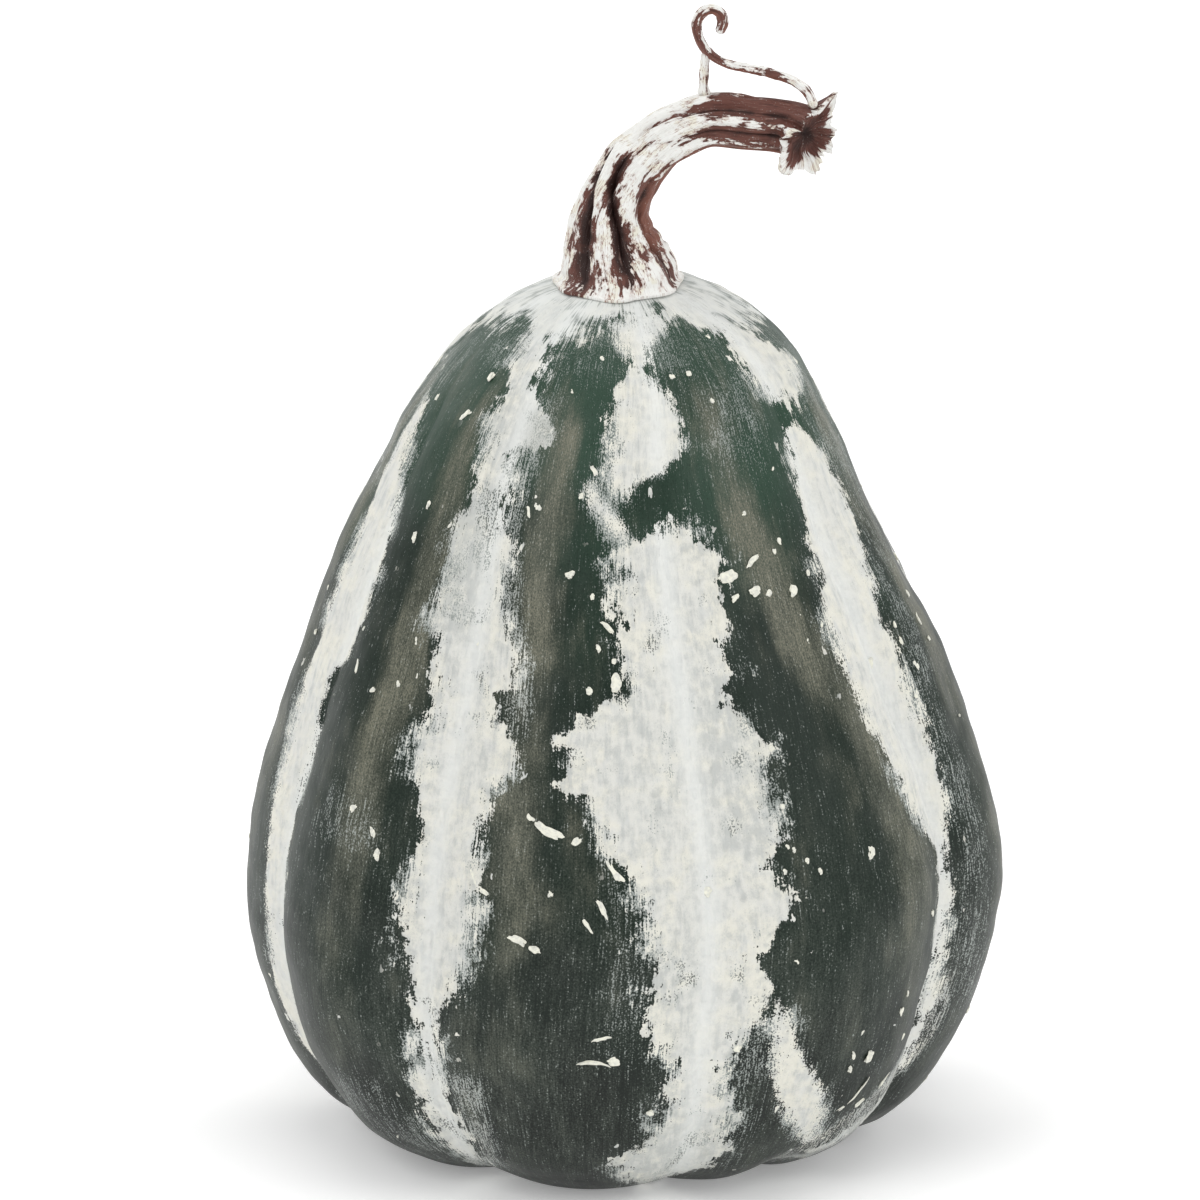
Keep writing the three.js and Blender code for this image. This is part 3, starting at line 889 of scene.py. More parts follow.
STRIPE_LEFT_SIDE = Patch((
    (3, 246, 253), (16, 245, 256), (28, 244, 257), (42, 246, 258), (56, 243, 259), (68, 245, 262),
    (80, 242, 263), (92, 244, 260), (106, 248, 262), (118, 250, 263), (132, 251, 264), (146, 252, 263),
    (160, 253, 266), (174, 252, 264), (188, 250, 262), (200, 247, 264), (212, 242, 270)), 1.0, 1.2)
STROKE_LOW_RIGHT = Patch((
    (9, 40, 43), (12, 41, 47), (15, 44, 52), (18, 48, 56.5), (21, 53, 59.5), (24, 57, 61), (28, 60, 62.5)),
    0.9, 2.6, 1.1)
STRIPES = (
    STRIPE_LEFT, STRIPE_FRONT_LEFT, STROKE_LOW_RIGHT, STRIPE_FRONT, PATCH_FRONT_TOP, DASH_FRONT,
    PATCH_OVER_FOLD, STRIPE_RIGHT, PATCH_RIGHT_TOP, STRIPE_RIGHT_SIDE, STRIPE_BACK_RIGHT,
    PATCH_BACK_RIGHT_TOP, STRIPE_BACK, STRIPE_BACK_LEFT, STRIPE_LEFT_SIDE)


@dataclass(frozen=True)
class Veil:
    """A part of the body that is brushed over thinly, worn through, or given a painted highlight.

    Its edges are given as a patch's are, with its strength and how softly it fades out.
    """

    edges: Edges
    strength: float
    feather: float = 4.0

    def over(self, bearing: Array, level: Array, radius: Array) -> Array:
        """How strong the veil is at each place."""
        reach = Patch(self.edges).reach(bearing, level, radius)
        return self.strength * smooth(reach, -self.feather, self.feather)


# Thinly brushed-over parts; one of them is a painted highlight.
FILMS_AND_SHEEN = (
    Veil(((3, 28, 44), (10, 32, 50), (16, 37, 58), (22, 43, 66), (30, 54, 71), (38, 60, 72),
          (52, 65, 71)), 0.8),
    Veil(((36, 68, 84), (60, 66, 78), (90, 67, 76), (120, 67, 74), (150, 66, 76), (185, 70, 80)), 0.42),
    Veil(((44, -3, 7), (66, -3, 7), (90, -4, 5), (110, -6, 2)), 0.3),
    Veil(((8, -33, -23), (20, -32, -22), (40, -30, -22)), 0.6),
    Veil(((92, -60, -43), (98, -60, -43), (106, -56, -47)), 0.45),
    Veil(((126, -25, -16), (142, -23, -17), (158, -26, -20), (180, -29, -23), (206, -34, -18)), 0.6, 2.5),
    Veil(((150, 62, 84), (165, 66, 84), (190, 66, 96), (214, 62, 96)), 0.45),
    Veil(((5, -60, -32), (20, -60, -38), (32, -58, -44)), 0.4),
    Veil(((170, -92, -74), (190, -104, -72), (214, -112, -66)), 0.5),
    Veil(((209, -66, 62), (214, -66, 62), (222, -66, 62)), 0.4),
    # A painted highlight: a pale haze standing in for the glossy sheen near the crown, right of the front.
    Veil(((188, 27, 43), (198, 24, 47), (212, 19, 50)), 0.42, 6),
    Veil(((8, 18, 26), (30, 18, 24), (60, 20, 27)), 0.45),
    Veil(((6, 154, 168), (30, 148, 168), (70, 152, 164)), 0.36, 8),
    Veil(((-4, 200, 240), (20, 206, 232), (44, 216, 228)), 0.36, 9),
    Veil(((116, 112, 120), (150, 106, 124), (180, 104, 124), (212, 104, 130)), 0.32, 9))
WORN_SPOTS = (
    Veil(((148, -43, -32), (160, -42, -31), (176, -42, -31), (184, -39, -31)), 0.75),
    Veil(((192, -42, -24), (204, -42, -26)), 0.4),
    Veil(((188, -33, -18), (194, -33, -16), (202, -32, -16)), 1.0, 2.5),
    Veil(((98, 14, 26), (118, 12, 26), (140, 13, 22)), 0.4),
    Veil(((60, 3, 12), (76, 3, 12)), 0.35),
    Veil(((0, -6, 22), (20, -4, 24), (30, 2, 22)), 0.5),
    Veil(((2, -38, -28), (24, -38, -28)), 0.4),
    Veil(((56, 176, 188), (86, 174, 186), (120, 176, 188)), 0.5),
    Veil(((150, 252, 262), (190, 250, 262)), 0.5))


@dataclass
class SquashBody:
    """The pear-shaped ribbed body, standing on its blossom end."""

    profile: Table = (
        (0, 7), (10, 6.2), (24, 4.3), (40, 0.5), (50, -0.9), (62, 2.3), (76.7, 12.2), (88.6, 31.5),
        (94.8, 54), (95.1, 78), (87.8, 107), (76, 140), (62, 172), (49, 198), (37, 211.5),
        (24, 219.6), (12, 223.6), (0, 225))
    shoulder_grooves: tuple[float, ...] = (-66, -30, 11, 56, 98, 139, 181, 217, 256)
    hip_grooves: tuple[float, ...] = (-72, -33, 13, 64, 101, 137, 177, 214, 251)
    ribs: Ribs = field(default_factory=lambda: Ribs((1.0, 0.95, 0.7, 1.35, 1.0, 0.9, 1.1, 0.9, 1.05), 0.75))
    shoulder: float = 160
    hip: float = 80
    groove_depth: Table = ((0, 6.0), (20, 6.6), (65, 6.2), (110, 4.6), (150, 3.2), (190, 1.8), (216, 0))
    groove_lift: float = 2.4
    lift_fades: float = 14
    fold_top: float = 26
    fold_foot: float = 38
    fold_half_width: float = 7
    fold_depth: float = 2.6
    fold_height: float = 56
    plain_radius: float = 30
    waves: tuple[tuple[int, float, float, float], ...] = ((2, 170, 0.5, 0.6), (5, 74, 0.35, 2.1))
    axis_drift: Table = (
        (0, -1.1), (42, -0.6), (80, 1.5), (100, 1.1), (125, 0.1), (165, -1.6), (186, -1.4),
        (208, 0), (225, 0))
    segments_per_rib: int = 44
    rows: int = 248
    profile_steps: int = 80
    paint_thickness: float = 0.22
    paint_bevel: float = 0.8
    plain_foot: float = 8
    dents: tuple[tuple[float, float], ...] = ((26, 0.32), (9, 0.1))
    # Where the ribs' glazing lies, which is partly a painted sheen on their crests.
    glaze_and_sheen_by_rib: tuple[float, ...] = (1.0, 0.85, 1.05, 0.75, 0.8, 0.9, 0.8, 0.9, 0.8)
    glaze_and_sheen_middle: tuple[float, ...] = (0.58, 0.31, 0.56, 0.5, 0.45, 0.55, 0.5, 0.45, 0.5)
    glaze_and_sheen_lean: tuple[float, ...] = (0.0, 0.0, -0.5, 0.0, 0.1, -0.1, 0.1, 0.0, -0.1)
    glaze_and_sheen_half_width: float = 0.125
    lean_reach: float = 40
    lean_unit: float = 100
    stripe_reach: float = 40
    # Half width of the painted highlight down the grooves.
    crease_highlight_half_width: float = 2.8
    brush_radius: float = 60
    glaze_and_sheen_by_height: Table = ((20, 0), (70, 0.55), (110, 0.95), (160, 1.05), (196, 0.95), (214, 0))
    wash_from: Table = (
        (-110, 213), (-60, 217), (-38, 215), (-15, 219), (2, 220), (14, 219), (30, 221), (44, 218),
        (62, 215), (85, 214), (120, 217), (160, 216), (200, 219), (250, 213))
    wash_middle: float = 70

    def __post_init__(self) -> None:
        """Works out the profile's rows, evenly spaced, and the level of each."""
        curve = spline_profile(self.profile, self.profile_steps)
        step = np.linalg.norm(np.diff(curve, axis=0), axis=1)
        distance = np.concatenate([[0.0], np.cumsum(step)])
        along = np.linspace(0.0, distance[-1], self.rows + 1)
        self.radii = np.interp(along, distance, curve[:, 0])
        self.radii[[0, -1]] = 0.0
        self.heights = np.interp(along, distance, curve[:, 1])
        self.lowest = int(self.heights.argmin())
        under = np.arange(self.rows + 1) < self.lowest
        self.levels = np.where(under, along - along[self.lowest], self.heights - self.heights[self.lowest])
        self.along = along

    def groove_bearings(self, height: Array) -> Array:
        """The grooves' bearings at each height, on a new last axis."""
        up = smooth(height, self.hip, self.shoulder)[..., None]
        hip, shoulder = np.array(self.hip_grooves, float), np.array(self.shoulder_grooves, float)
        return hip + (shoulder - hip) * up

    def surface(self, radius: Array, height: Array, bearing: Array, groove: Array) -> Array:
        """The ribbed surface.

        Args:
            radius: The profile's radius for each place.
            height: The profile's height.
            bearing: The place's bearing.
            groove: How far it is below the ribs' crests, as a part of the groove's depth.

        Returns:
            The places, one row each.
        """
        low = 1.0 - smooth(height, 0.0, self.fold_height)
        fold_at = self.fold_top + (self.fold_foot - self.fold_top) * low
        fold = bump(bearing_gap(bearing, fold_at), self.fold_half_width) * low
        share = smooth(radius, 0.0, self.plain_radius)
        turn = np.radians(bearing)
        wave = sum(size * np.sin(around * turn + 2.0 * math.pi * height / length + phase)
                   for around, length, size, phase in self.waves)
        inward = read_table(self.groove_depth, height) * groove + self.fold_depth * fold - wave
        ribbed = np.maximum(radius - inward * share, 0.0)
        lift = self.groove_lift * np.minimum(groove + fold, 1.0) * share
        lift *= 1.0 - smooth(height, 0.0, self.lift_fades)
        drift = read_table(self.axis_drift, height)
        return np.stack([ribbed * np.sin(turn) + drift, -ribbed * np.cos(turn),
                         np.maximum(height + lift, 0.0)], -1)

    def on_skin(self, bearing: Array, height: Array) -> Array:
        """Places on the body's side, by bearing and height.

        Args:
            bearing: Bearings.
            height: Heights, between the foot and the crown.

        Returns:
            The places, one row each.
        """
        radius = np.interp(height, self.heights[self.lowest:], self.radii[self.lowest:])
        grooves = self.groove_bearings(height)
        rib, part = self.ribs.find(grooves, bearing)
        _, groove = self.ribs.across(grooves, rib[:, None], part[:, None])
        return self.surface(radius, height, bearing, groove[:, 0])

    def crown_height(self, distance: Array) -> Array:
        """Height of the crown at a distance from the axis."""
        top = self.heights > self.shoulder
        return np.interp(distance, self.radii[top][::-1], self.heights[top][::-1])

    def build(self) -> Piece:
        """Models the body and stores the masks that its paint reads.

        Returns:
            The body.
        """
        sides = self.segments_per_rib * len(self.shoulder_grooves)
        seen: Arrays = {}

        def shape(row: Array, side: Array) -> Array:
            """Places of the body's points, whose own numbers are kept for the paint."""
            height = self.heights[row]
            rib = side // self.segments_per_rib
            part = (side % self.segments_per_rib) / self.segments_per_rib
            bearing, groove = self.ribs.across(self.groove_bearings(height), rib[:, None], part[:, None])
            bearing, groove = bearing[:, 0], groove[:, 0]
            seen.update(row=row, rib=rib, part=part, bearing=bearing)
            return self.surface(self.radii[row], height, bearing, groove)

        piece = add_skin("squash_skin", self.rows, sides, shape)
        masks = self._masks(**seen)
        self._roughen(piece, masks["stripe"], masks["level"])
        store(piece, masks)
        return piece

    def _masks(self, row: Array, rib: Array, part: Array, bearing: Array) -> Arrays:
        """The numbers that the paint reads at each point.

        Args:
            row: The point's row.
            rib: Its rib.
            part: How far across that rib it is.
            bearing: Its bearing.

        Returns:
            The masks by name: the patches, the ribs' glazing and painted sheen, the painted groove highlight,
                the veils and the brush lines.
        """
        level, radius = self.levels[row], self.radii[row]
        reaches = np.stack([patch.reach(bearing, level, radius) for patch in STRIPES])
        stripe = np.clip(reaches.max(0), -self.stripe_reach, self.stripe_reach)
        ragged, drag, worn = (np.array([getattr(patch, name) for patch in STRIPES])[reaches.argmax(0)]
                              for name in ("ragged", "drag", "worn"))
        turned = bearing_gap(bearing, self.wash_middle) + self.wash_middle
        wash = level - read_table(self.wash_from, turned)
        # The ribs' glazing, partly a painted sheen along their crests.
        lean = np.clip(level - self.shoulder, -self.lean_reach, self.lean_reach) / self.lean_unit
        middle = np.array(self.glaze_and_sheen_middle)[rib] + np.array(self.glaze_and_sheen_lean)[rib] * lean
        glaze_and_sheen = np.array(self.glaze_and_sheen_by_rib)[rib] * bump(part - middle, self.glaze_and_sheen_half_width)
        glaze_and_sheen *= read_table(self.glaze_and_sheen_by_height, level)
        # The painted highlight down the middle of each groove.
        gaps = np.abs(bearing_gap(bearing[:, None], self.groove_bearings(self.heights[row]))).min(1)
        crease_highlight = bump(np.radians(gaps) * radius, self.crease_highlight_half_width)
        film_and_sheen, holes = (np.max([veil.over(bearing, level, radius) for veil in veils], 0)
                       for veils in (FILMS_AND_SHEEN, WORN_SPOTS))
        brush = brush_lines(np.radians(bearing), self.brush_radius, self.along[row])
        return {"stripe": stripe, "ragged": ragged, "drag": drag, "wash": wash, "glaze_and_sheen": glaze_and_sheen,
                "level": level, "brush": brush, "crease_highlight": crease_highlight, "film_and_sheen": film_and_sheen, "worn": worn + holes}

    def _roughen(self, piece: Piece, stripe: Array, level: Array) -> None:
        """Gives the skin its shallow dents and the thickness of its paint."""
        places = read_points(piece) / METRE
        out = self.paint_thickness * smooth(stripe, -self.paint_bevel, self.paint_bevel)
        for seed, (length, size) in enumerate(self.dents):
            out = out + size * unevenness(places, length, seed + Seed.DENTS)
        out *= smooth(level, 0.0, self.plain_foot)
        move_points(piece, places + read_points(piece, "normal") * out[:, None])


# ------------------------------------------------------------------------------ the stem


@dataclass(frozen=True)
class Lobe:
    """A lobe of the torn collar: its bearing and half width, and how far it reaches out and along."""

    side: Span
    out: float
    along: float


@dataclass
class Stem:
    """The stem: a buttressed foot, a ridged arch and a torn collar with a dish in its end."""

    path: Bend = field(default_factory=lambda: Bend((
        (-1, 0, 222.5), (-1.2, 0, 226), (-2.2, 0, 231), (-2.8, 0, 236.5), (-2.3, 0, 241.8),
        (-0.4, 0, 247), (3.7, 0, 253.8), (10.7, -0.2, 260.7), (21.5, -0.6, 265.2), (32.4, -1.6, 265),
        (41.4, -3.8, 264.6), (48.6, -10.2, 263.4))))
    radius: Table = (
        (0, 17.2), (2.5, 15.6), (6, 14), (10, 12.3), (15, 10.6), (21, 9.2), (28, 8.4), (34, 7.8),
        (42, 7.2), (58, 6.9), (72, 7), (90, 7.3))
    foot_grooves: tuple[float, ...] = (-110, -40, 14, 64, 120, 176)
    knuckle_grooves: tuple[float, ...] = (-112, -70, -34, 44, 116, 176)
    arch_grooves: tuple[float, ...] = (-110, -37, 12, 64, 120, 176)
    turn_to_knuckle: Span = (14, 31)
    turn_to_arch: Span = (35, 48)
    ribs: Ribs = field(default_factory=lambda: Ribs((0.8, 1.1, 1.15, 0.7, 0.9, 1.0), 0.65))
    groove_depth: Table = (
        (0, 0.5), (3, 1.6), (10, 3.4), (23, 3.1), (31, 2.3), (36.5, 0.5), (43, 0.6), (55, 1.2),
        (75, 1.4), (90, 0.7))
    knuckle_side: Span = (-50, 38)
    knuckle_along: float = 33
    knuckle_reach: float = 2.8
    knuckle_out: float = 1.2
    knuckle_waist: float = 1.0
    foot_stretch: float = 0.7
    foot_stretch_at: float = 10
    foot_scallops: int = 7
    foot_scallop: float = 0.4
    foot_share: Table = ((0, 1), (2.5, 0.6), (5, 0.5), (7.2, 0.25), (9.4, 0))
    lip: float = 0.7
    seat_gap: float = 0.4
    lobes: tuple[Lobe, ...] = (
        Lobe((-109, 10), 6.4, 1.8), Lobe((-82, 15), -1.0, -0.6), Lobe((50, 18), 5.6, -1.6),
        Lobe((8, 24), 2.0, -2.4), Lobe((98, 20), 2.0, 1.2), Lobe((160, 34), 0.6, 0.2))
    collar_reach: float = 9
    dish: Table = ((0, 3.8), (0.52, 2.9), (0.8, 0.8), (1, 0))
    sides_per_rib: int = 50
    row_length: float = 0.42
    under_rows: int = 6
    dish_rows: int = 14
    brush_radius: float = 9
    wrinkles: Table = ((4.8, 0.38), (2.1, 0.2))
    wrinkle_along: float = 0.16
    wrinkles_from: Span = (0.5, 4)
    tear_size: float = 2.2
    tears: float = 0.75
    least_radius: float = 0.3
    seated: Span = (0.2, 2.6)
    hollow_depth: float = 2.6
    inner_side: Span = (92, 44)
    arch_front: Span = (-62, 26)
    pale_lobe: Span = (96, 34)
    rim_width: float = 2.2
    ivory_by_length: Table = (
        (0, 2.4), (5, 2.1), (9, 1.7), (20, 1.4), (30, 1.6), (38, 2.7), (50, 2.4), (57, 0.7), (68, 0.3),
        (76, -0.2), (84, -0.6), (90, 0.2))
    wear_by_length: Table = (
        (0, 0.4), (5, 0.5), (10, 0.6), (30, 0.5), (36, 0.45), (48, 0.45), (55, 0.6), (70, 0.6), (90, 0.4))

    def groove_bearings(self, along: Array) -> Array:
        """The grooves' bearings: they swing to the outer side under the knuckle, on a new last axis."""
        foot, knuckle, arch = (np.array(row, float) for row in
                               (self.foot_grooves, self.knuckle_grooves, self.arch_grooves))
        up = smooth(along, *self.turn_to_knuckle)[..., None]
        over = smooth(along, *self.turn_to_arch)[..., None]
        low = foot + (knuckle - foot) * up
        return low + (arch - low) * over

    def rows(self) -> Arrays:
        """The rows of the skin, from the middle of the underside to the middle of the dish.

        Returns:
            For each row its distance along the path, its part of the full radius, its height above
            the crown where it sits there, and its part of the rim's radius inside the dish.
        """
        under = [(0.0, part, 0.0, 1.0) for part in np.linspace(0.0, 1.0, self.under_rows + 1)]
        edge = [(0.0, 1.0, self.lip * part, 1.0) for part in (0.3, 0.65, 1.0)]
        count = round(self.path.length / self.row_length)
        side = [(at, 1.0, self.lip, 1.0) for at in np.linspace(0.0, self.path.length, count + 1)[1:]]
        inwards = np.linspace(1.0, 0.0, self.dish_rows + 1)[1:]
        inner = [(self.path.length, 1.0, self.lip, part) for part in inwards]
        columns = np.array(under + edge + side + inner).T
        return dict(zip(("along", "part", "above", "inner"), columns))

    def build(self, body: SquashBody) -> Piece:
        """Models the stem on the body's crown.

        Args:
            body: The body that the foot sits on.

        Returns:
            The stem.
        """
        table = self.rows()
        sides = self.sides_per_rib * len(self.arch_grooves)
        masks: Arrays = {}

        def shape(row: Array, side: Array) -> Array:
            """Places of the stem's points, whose paint masks are kept."""
            rib, part = side // self.sides_per_rib, (side % self.sides_per_rib) / self.sides_per_rib
            at = {name: column[row] for name, column in table.items()}
            grooves = self.groove_bearings(at["along"])
            bearing, groove = self.ribs.across(grooves, rib[:, None], part[:, None])
            return self._place(at, bearing[:, 0], groove[:, 0], body, masks)

        piece = add_skin("stem_skin", len(table["along"]) - 1, sides, shape)
        store(piece, masks)
        return piece

    def _place(self, at: Arrays, bearing: Array, groove: Array, body: SquashBody, masks: Arrays) -> Array:
        """Places of the stem's skin, and its paint masks.

        Args:
            at: The rows' numbers for each point.
            bearing: Its bearing round the stem, 0 at the front and growing to the inner side.
            groove: How far it is below the ridges' crests.
            body: The body that the foot sits on.
            masks: Where the masks are put.

        Returns:
            The places, one row each.
        """
        along, inner = at["along"].copy(), at["inner"]
        length = self.path.length
        turn = np.radians(bearing)
        straight = brush_lines(turn, self.brush_radius, along)
        lines = straight * np.array([1.0, 1.0, self.wrinkle_along])
        near = smooth(along, length - self.collar_reach, length)
        torn = np.where(inner < 1.0, inner, near) ** 2
        past = along - self.knuckle_along
        side = towards(bearing, self.knuckle_side)
        radius = read_table(self.radius, along) * inner
        radius -= read_table(self.groove_depth, along) * groove * inner
        outline = self.foot_stretch * np.cos(2.0 * np.radians(bearing - self.foot_stretch_at))
        outline += self.foot_scallop * np.cos(self.foot_scallops * turn)
        radius += outline * read_table(self.foot_share, along)
        radius += side * (self.knuckle_out * bump(past, self.knuckle_reach)
                          - self.knuckle_waist * bump(past - 2.0 * self.knuckle_reach, self.knuckle_reach))
        for lobe in self.lobes:
            share = towards(bearing, lobe.side) * torn
            radius += lobe.out * share
            along += lobe.along * share
        wrinkle = sum(size * unevenness(lines, wave, seed + Seed.WRINKLES)
                      for seed, (wave, size) in enumerate(self.wrinkles))
        radius += wrinkle * smooth(along, *self.wrinkles_from) * inner
        tear = unevenness(straight, self.tear_size, Seed.TEARS)
        radius += self.tears * 0.5 * tear * torn
        along += self.tears * tear * torn
        along -= np.where(inner < 1.0, read_table(self.dish, inner), 0.0)
        radius = np.maximum(radius, self.least_radius) * at["part"] * np.where(inner > 0.0, 1.0, 0.0)
        place, right, front = self.path.at(along)
        place = place + right * (radius * np.sin(turn))[:, None] + front * (radius * np.cos(turn))[:, None]
        seat = body.crown_height(np.hypot(place[:, 0], place[:, 1])) + self.seat_gap + at["above"]
        place[:, 2] += (seat - place[:, 2]) * (1.0 - smooth(at["along"], *self.seated))
        masks.update(self._masks(at["along"], inner, bearing, groove, wrinkle, straight))
        return place

    def _masks(self, along: Array, inner: Array, bearing: Array, groove: Array, wrinkle: Array,
               straight: Array) -> Arrays:
        """The numbers that the paint reads: ivory on the ridges and less in the grooves, a painted shade
        darkening the grooves and the dish, red inside.
        """
        # How deep in a groove or in the dish each place is: it thins the ivory, and it paints shade there.
        hollow = np.clip(groove * read_table(self.groove_depth, along) / self.hollow_depth, 0.0, 1.2)
        hollow = np.maximum(hollow, 0.8 * (1.0 - inner))
        length = self.path.length
        inside = towards(bearing, self.inner_side)
        ivory = read_table(self.ivory_by_length, along) - 3.6 * hollow + 1.6 * wrinkle
        ivory = ivory + 1.5 * (1.0 - np.clip(groove * 2.5, 0.0, 1.0)) * smooth(along, 8.0, 14.0)
        ivory = ivory - 4.0 * inside * smooth(along, 8.0, 16.0) * (1.0 - smooth(along, 70.0, length - 4.0))
        ivory = ivory - 2.5 * towards(bearing, self.arch_front) * smooth(along, 54.0, 60.0)
        rim = bump(along - length, self.rim_width) * smooth(inner, 0.7, 1.0)
        lobe = towards(bearing, self.pale_lobe) * smooth(inner, 0.45, 0.75)
        ivory = ivory + 3.4 * rim + 3.0 * lobe * smooth(along, length - 5.0, length)
        warm = inside * smooth(along, 4.0, 10.0) * (1.0 - smooth(along, length - 12.0, length - 3.0))
        return {"ivory": ivory, "hollow": hollow, "warm": warm,
                "wear": read_table(self.wear_by_length, along), "brush": straight}


# ------------------------------------------------------------------------------ the tendril


@dataclass
class Tendril:
    """The thin tendril: out of the collar, back along the arch, on a short strut, and curled."""

    path: Bend = field(default_factory=lambda: Bend((
        (48.3, -9.7, 271.3), (47.7, -8.2, 273), (45.7, -6.6, 275.4), (42.2, -4.6, 277.2),
        (36.9, -2.8, 278.4), (31.8, -1.8, 279.2), (26.9, -0.9, 280.1), (23.3, -0.3, 281.7),
        (20.9, 0, 283.8), (19.5, -0.2, 286.6), (18.8, -0.6, 289.8), (19.4, -1, 292.6), (21, -1.4, 294.4),
        (23, -1.7, 294.8), (24.9, -1.9, 293.6), (25.4, -2, 291.2), (24.3, -2, 288.6))))
    radius: Table = ((0, 1.25), (12, 1.2), (30, 1.15), (40, 1.4), (50, 1.35), (60, 1.05), (70, 0.8))
    strut_path: Bend = field(default_factory=lambda: Bend((
        (20.7, 0, 271.75), (20.6, 0, 277.3), (21, 0, 282.8))))
    strut_radius: Table = ((0, 1.8), (2.8, 1.15), (11.05, 1.15))
    curl_ivory: float = 0.3
    strut_ivory: float = 0.95
    wear: float = 0.4
    sides: int = 40
    row_length: float = 0.4
    end_cap: float = 0.3
    brush_radius: float = 1.3
    lumps: Table = ((4.0, 0.1), (1.3, 0.05))
    lump_along: float = 0.6
    chip_size: float = 7

    def _bar(self, name: str, path: Bend, radius: Table, ivory_share: float) -> Piece:
        """A closed, uneven round bar along a curve, with the masks that its paint reads.

        Args:
            name: The new object's name.
            path: The curve.
            radius: The bar's radius by the distance along it.
            ivory_share: How much ivory is left on it.

        Returns:
            The bar.
        """
        count = round(path.length / self.row_length)
        steps = np.linspace(0.0, path.length, count + 1)
        masks: Arrays = {}

        def shape(row: Array, side: Array) -> Array:
            """Places of the bar's points: its ends are rounded off."""
            along = np.concatenate([[-self.end_cap], steps, [path.length + self.end_cap]])[row]
            turn = 2.0 * math.pi * side / self.sides
            straight = brush_lines(turn, self.brush_radius, along)
            drawn = straight * np.array([1.0, 1.0, self.lump_along])
            size = read_table(radius, along)
            for seed, (wave, height) in enumerate(self.lumps):
                size = size + height * unevenness(drawn, wave, seed + Seed.LUMPS)
            end = np.minimum(along, path.length - along)
            size = size * np.sqrt(np.clip((end + self.end_cap) / (3.0 * self.end_cap), 0.0, 1.0))
            place, right, front = path.at(along)
            out = right * np.sin(turn)[:, None] + front * np.cos(turn)[:, None]
            above = out[:, 2] + 0.35 * -out[:, 1]
            ivory = ivory_share + 1.6 * above + 0.8 * unevenness(straight, self.chip_size, Seed.CHIPS)
            # The underside gets a painted shade.
            masks.update(ivory=ivory, hollow=np.clip(-above, 0.0, 1.0) * 0.5,
                         warm=np.clip(0.4 - above, 0.0, 1.0), wear=np.full(len(ivory), self.wear),
                         brush=straight)
            return place + out * size[:, None]

        piece = add_skin(name, count + 2, self.sides, shape)
        store(piece, masks)
        return piece

    def build(self) -> Piece:
        """Models the curl and its strut, grown together.

        Returns:
            The tendril.
        """
        curl = self._bar("tendril_skin", self.path, self.radius, self.curl_ivory)
        strut = self._bar("strut_skin", self.strut_path, self.strut_radius, self.strut_ivory)
        return join("tendril_skin", [curl, strut])


# ------------------------------------------------------------------------------ raised paint


@dataclass(frozen=True)
class Dab:
    """A raised dab of paint: its place on the body, its length, width and lean from upright."""

    bearing: float
    height: float
    length: float
    width: float
    lean: float = 0.0


UPPER_DABS = (
    Dab(-71, 197, 1.8, 1.1), Dab(-51, 197, 3.3, 1.3, 40), Dab(-52, 175, 2.0, 1.2, 10),
    Dab(-53, 167, 2.4, 2.1), Dab(-81, 134, 1.6, 1.0), Dab(-61, 142, 1.4, 0.9),
    Dab(-59, 133, 3.6, 1.2, -10), Dab(-44, 144, 1.6, 1.1), Dab(-42, 136, 1.6, 1.1),
    Dab(-52, 130, 1.4, 1.4), Dab(-46, 133, 1.4, 1.3), Dab(-82, 145, 1.5, 1.3),
    Dab(-22, 178, 3.0, 1.4, -20), Dab(-20, 180, 2.4, 2.0), Dab(-24, 198, 1.3, 0.9),
    Dab(-50, 206, 2.4, 1.8), Dab(-17, 206, 1.2, 1.0), Dab(-8, 213, 1.4, 1.0), Dab(18, 209, 1.4, 1.3),
    Dab(25, 209, 1.4, 1.3), Dab(30, 203, 1.4, 1.0), Dab(43, 215, 1.6, 1.0),
    Dab(-6, 189, 3.0, 1.0, -35), Dab(-9, 183, 1.6, 1.0), Dab(-10, 165, 1.9, 1.8),
    Dab(-5, 160, 1.3, 1.0))
MIDDLE_DABS = (
    Dab(-1, 140, 3.8, 2.4, 10), Dab(-1, 145, 1.4, 1.0), Dab(-4, 148, 1.6, 1.0, -30),
    Dab(-6, 138, 2.0, 1.4), Dab(-2, 153, 4.0, 1.0, -40), Dab(25, 163, 4.6, 3.0, 80),
    Dab(26, 158, 2.4, 1.4, 60), Dab(32, 166, 4.4, 1.3, 60), Dab(31, 159, 3.2, 1.9, 80),
    Dab(34, 158, 1.8, 1.2, 40), Dab(40, 157, 3.2, 2.2, 30), Dab(40, 169, 1.6, 1.0),
    Dab(38, 167, 1.4, 0.9), Dab(32, 177, 1.4, 1.1), Dab(46, 160, 1.4, 1.1), Dab(45, 148, 1.8, 1.1),
    Dab(40, 145, 1.4, 1.0), Dab(40, 152, 1.4, 1.0), Dab(78, 145, 1.9, 1.1), Dab(77, 139, 2.6, 1.1),
    Dab(67, 141, 1.6, 1.1), Dab(67, 137, 1.9, 1.1), Dab(67, 124, 2.6, 2.1), Dab(69, 130, 2.9, 2.1),
    Dab(27, 122, 1.6, 1.3))
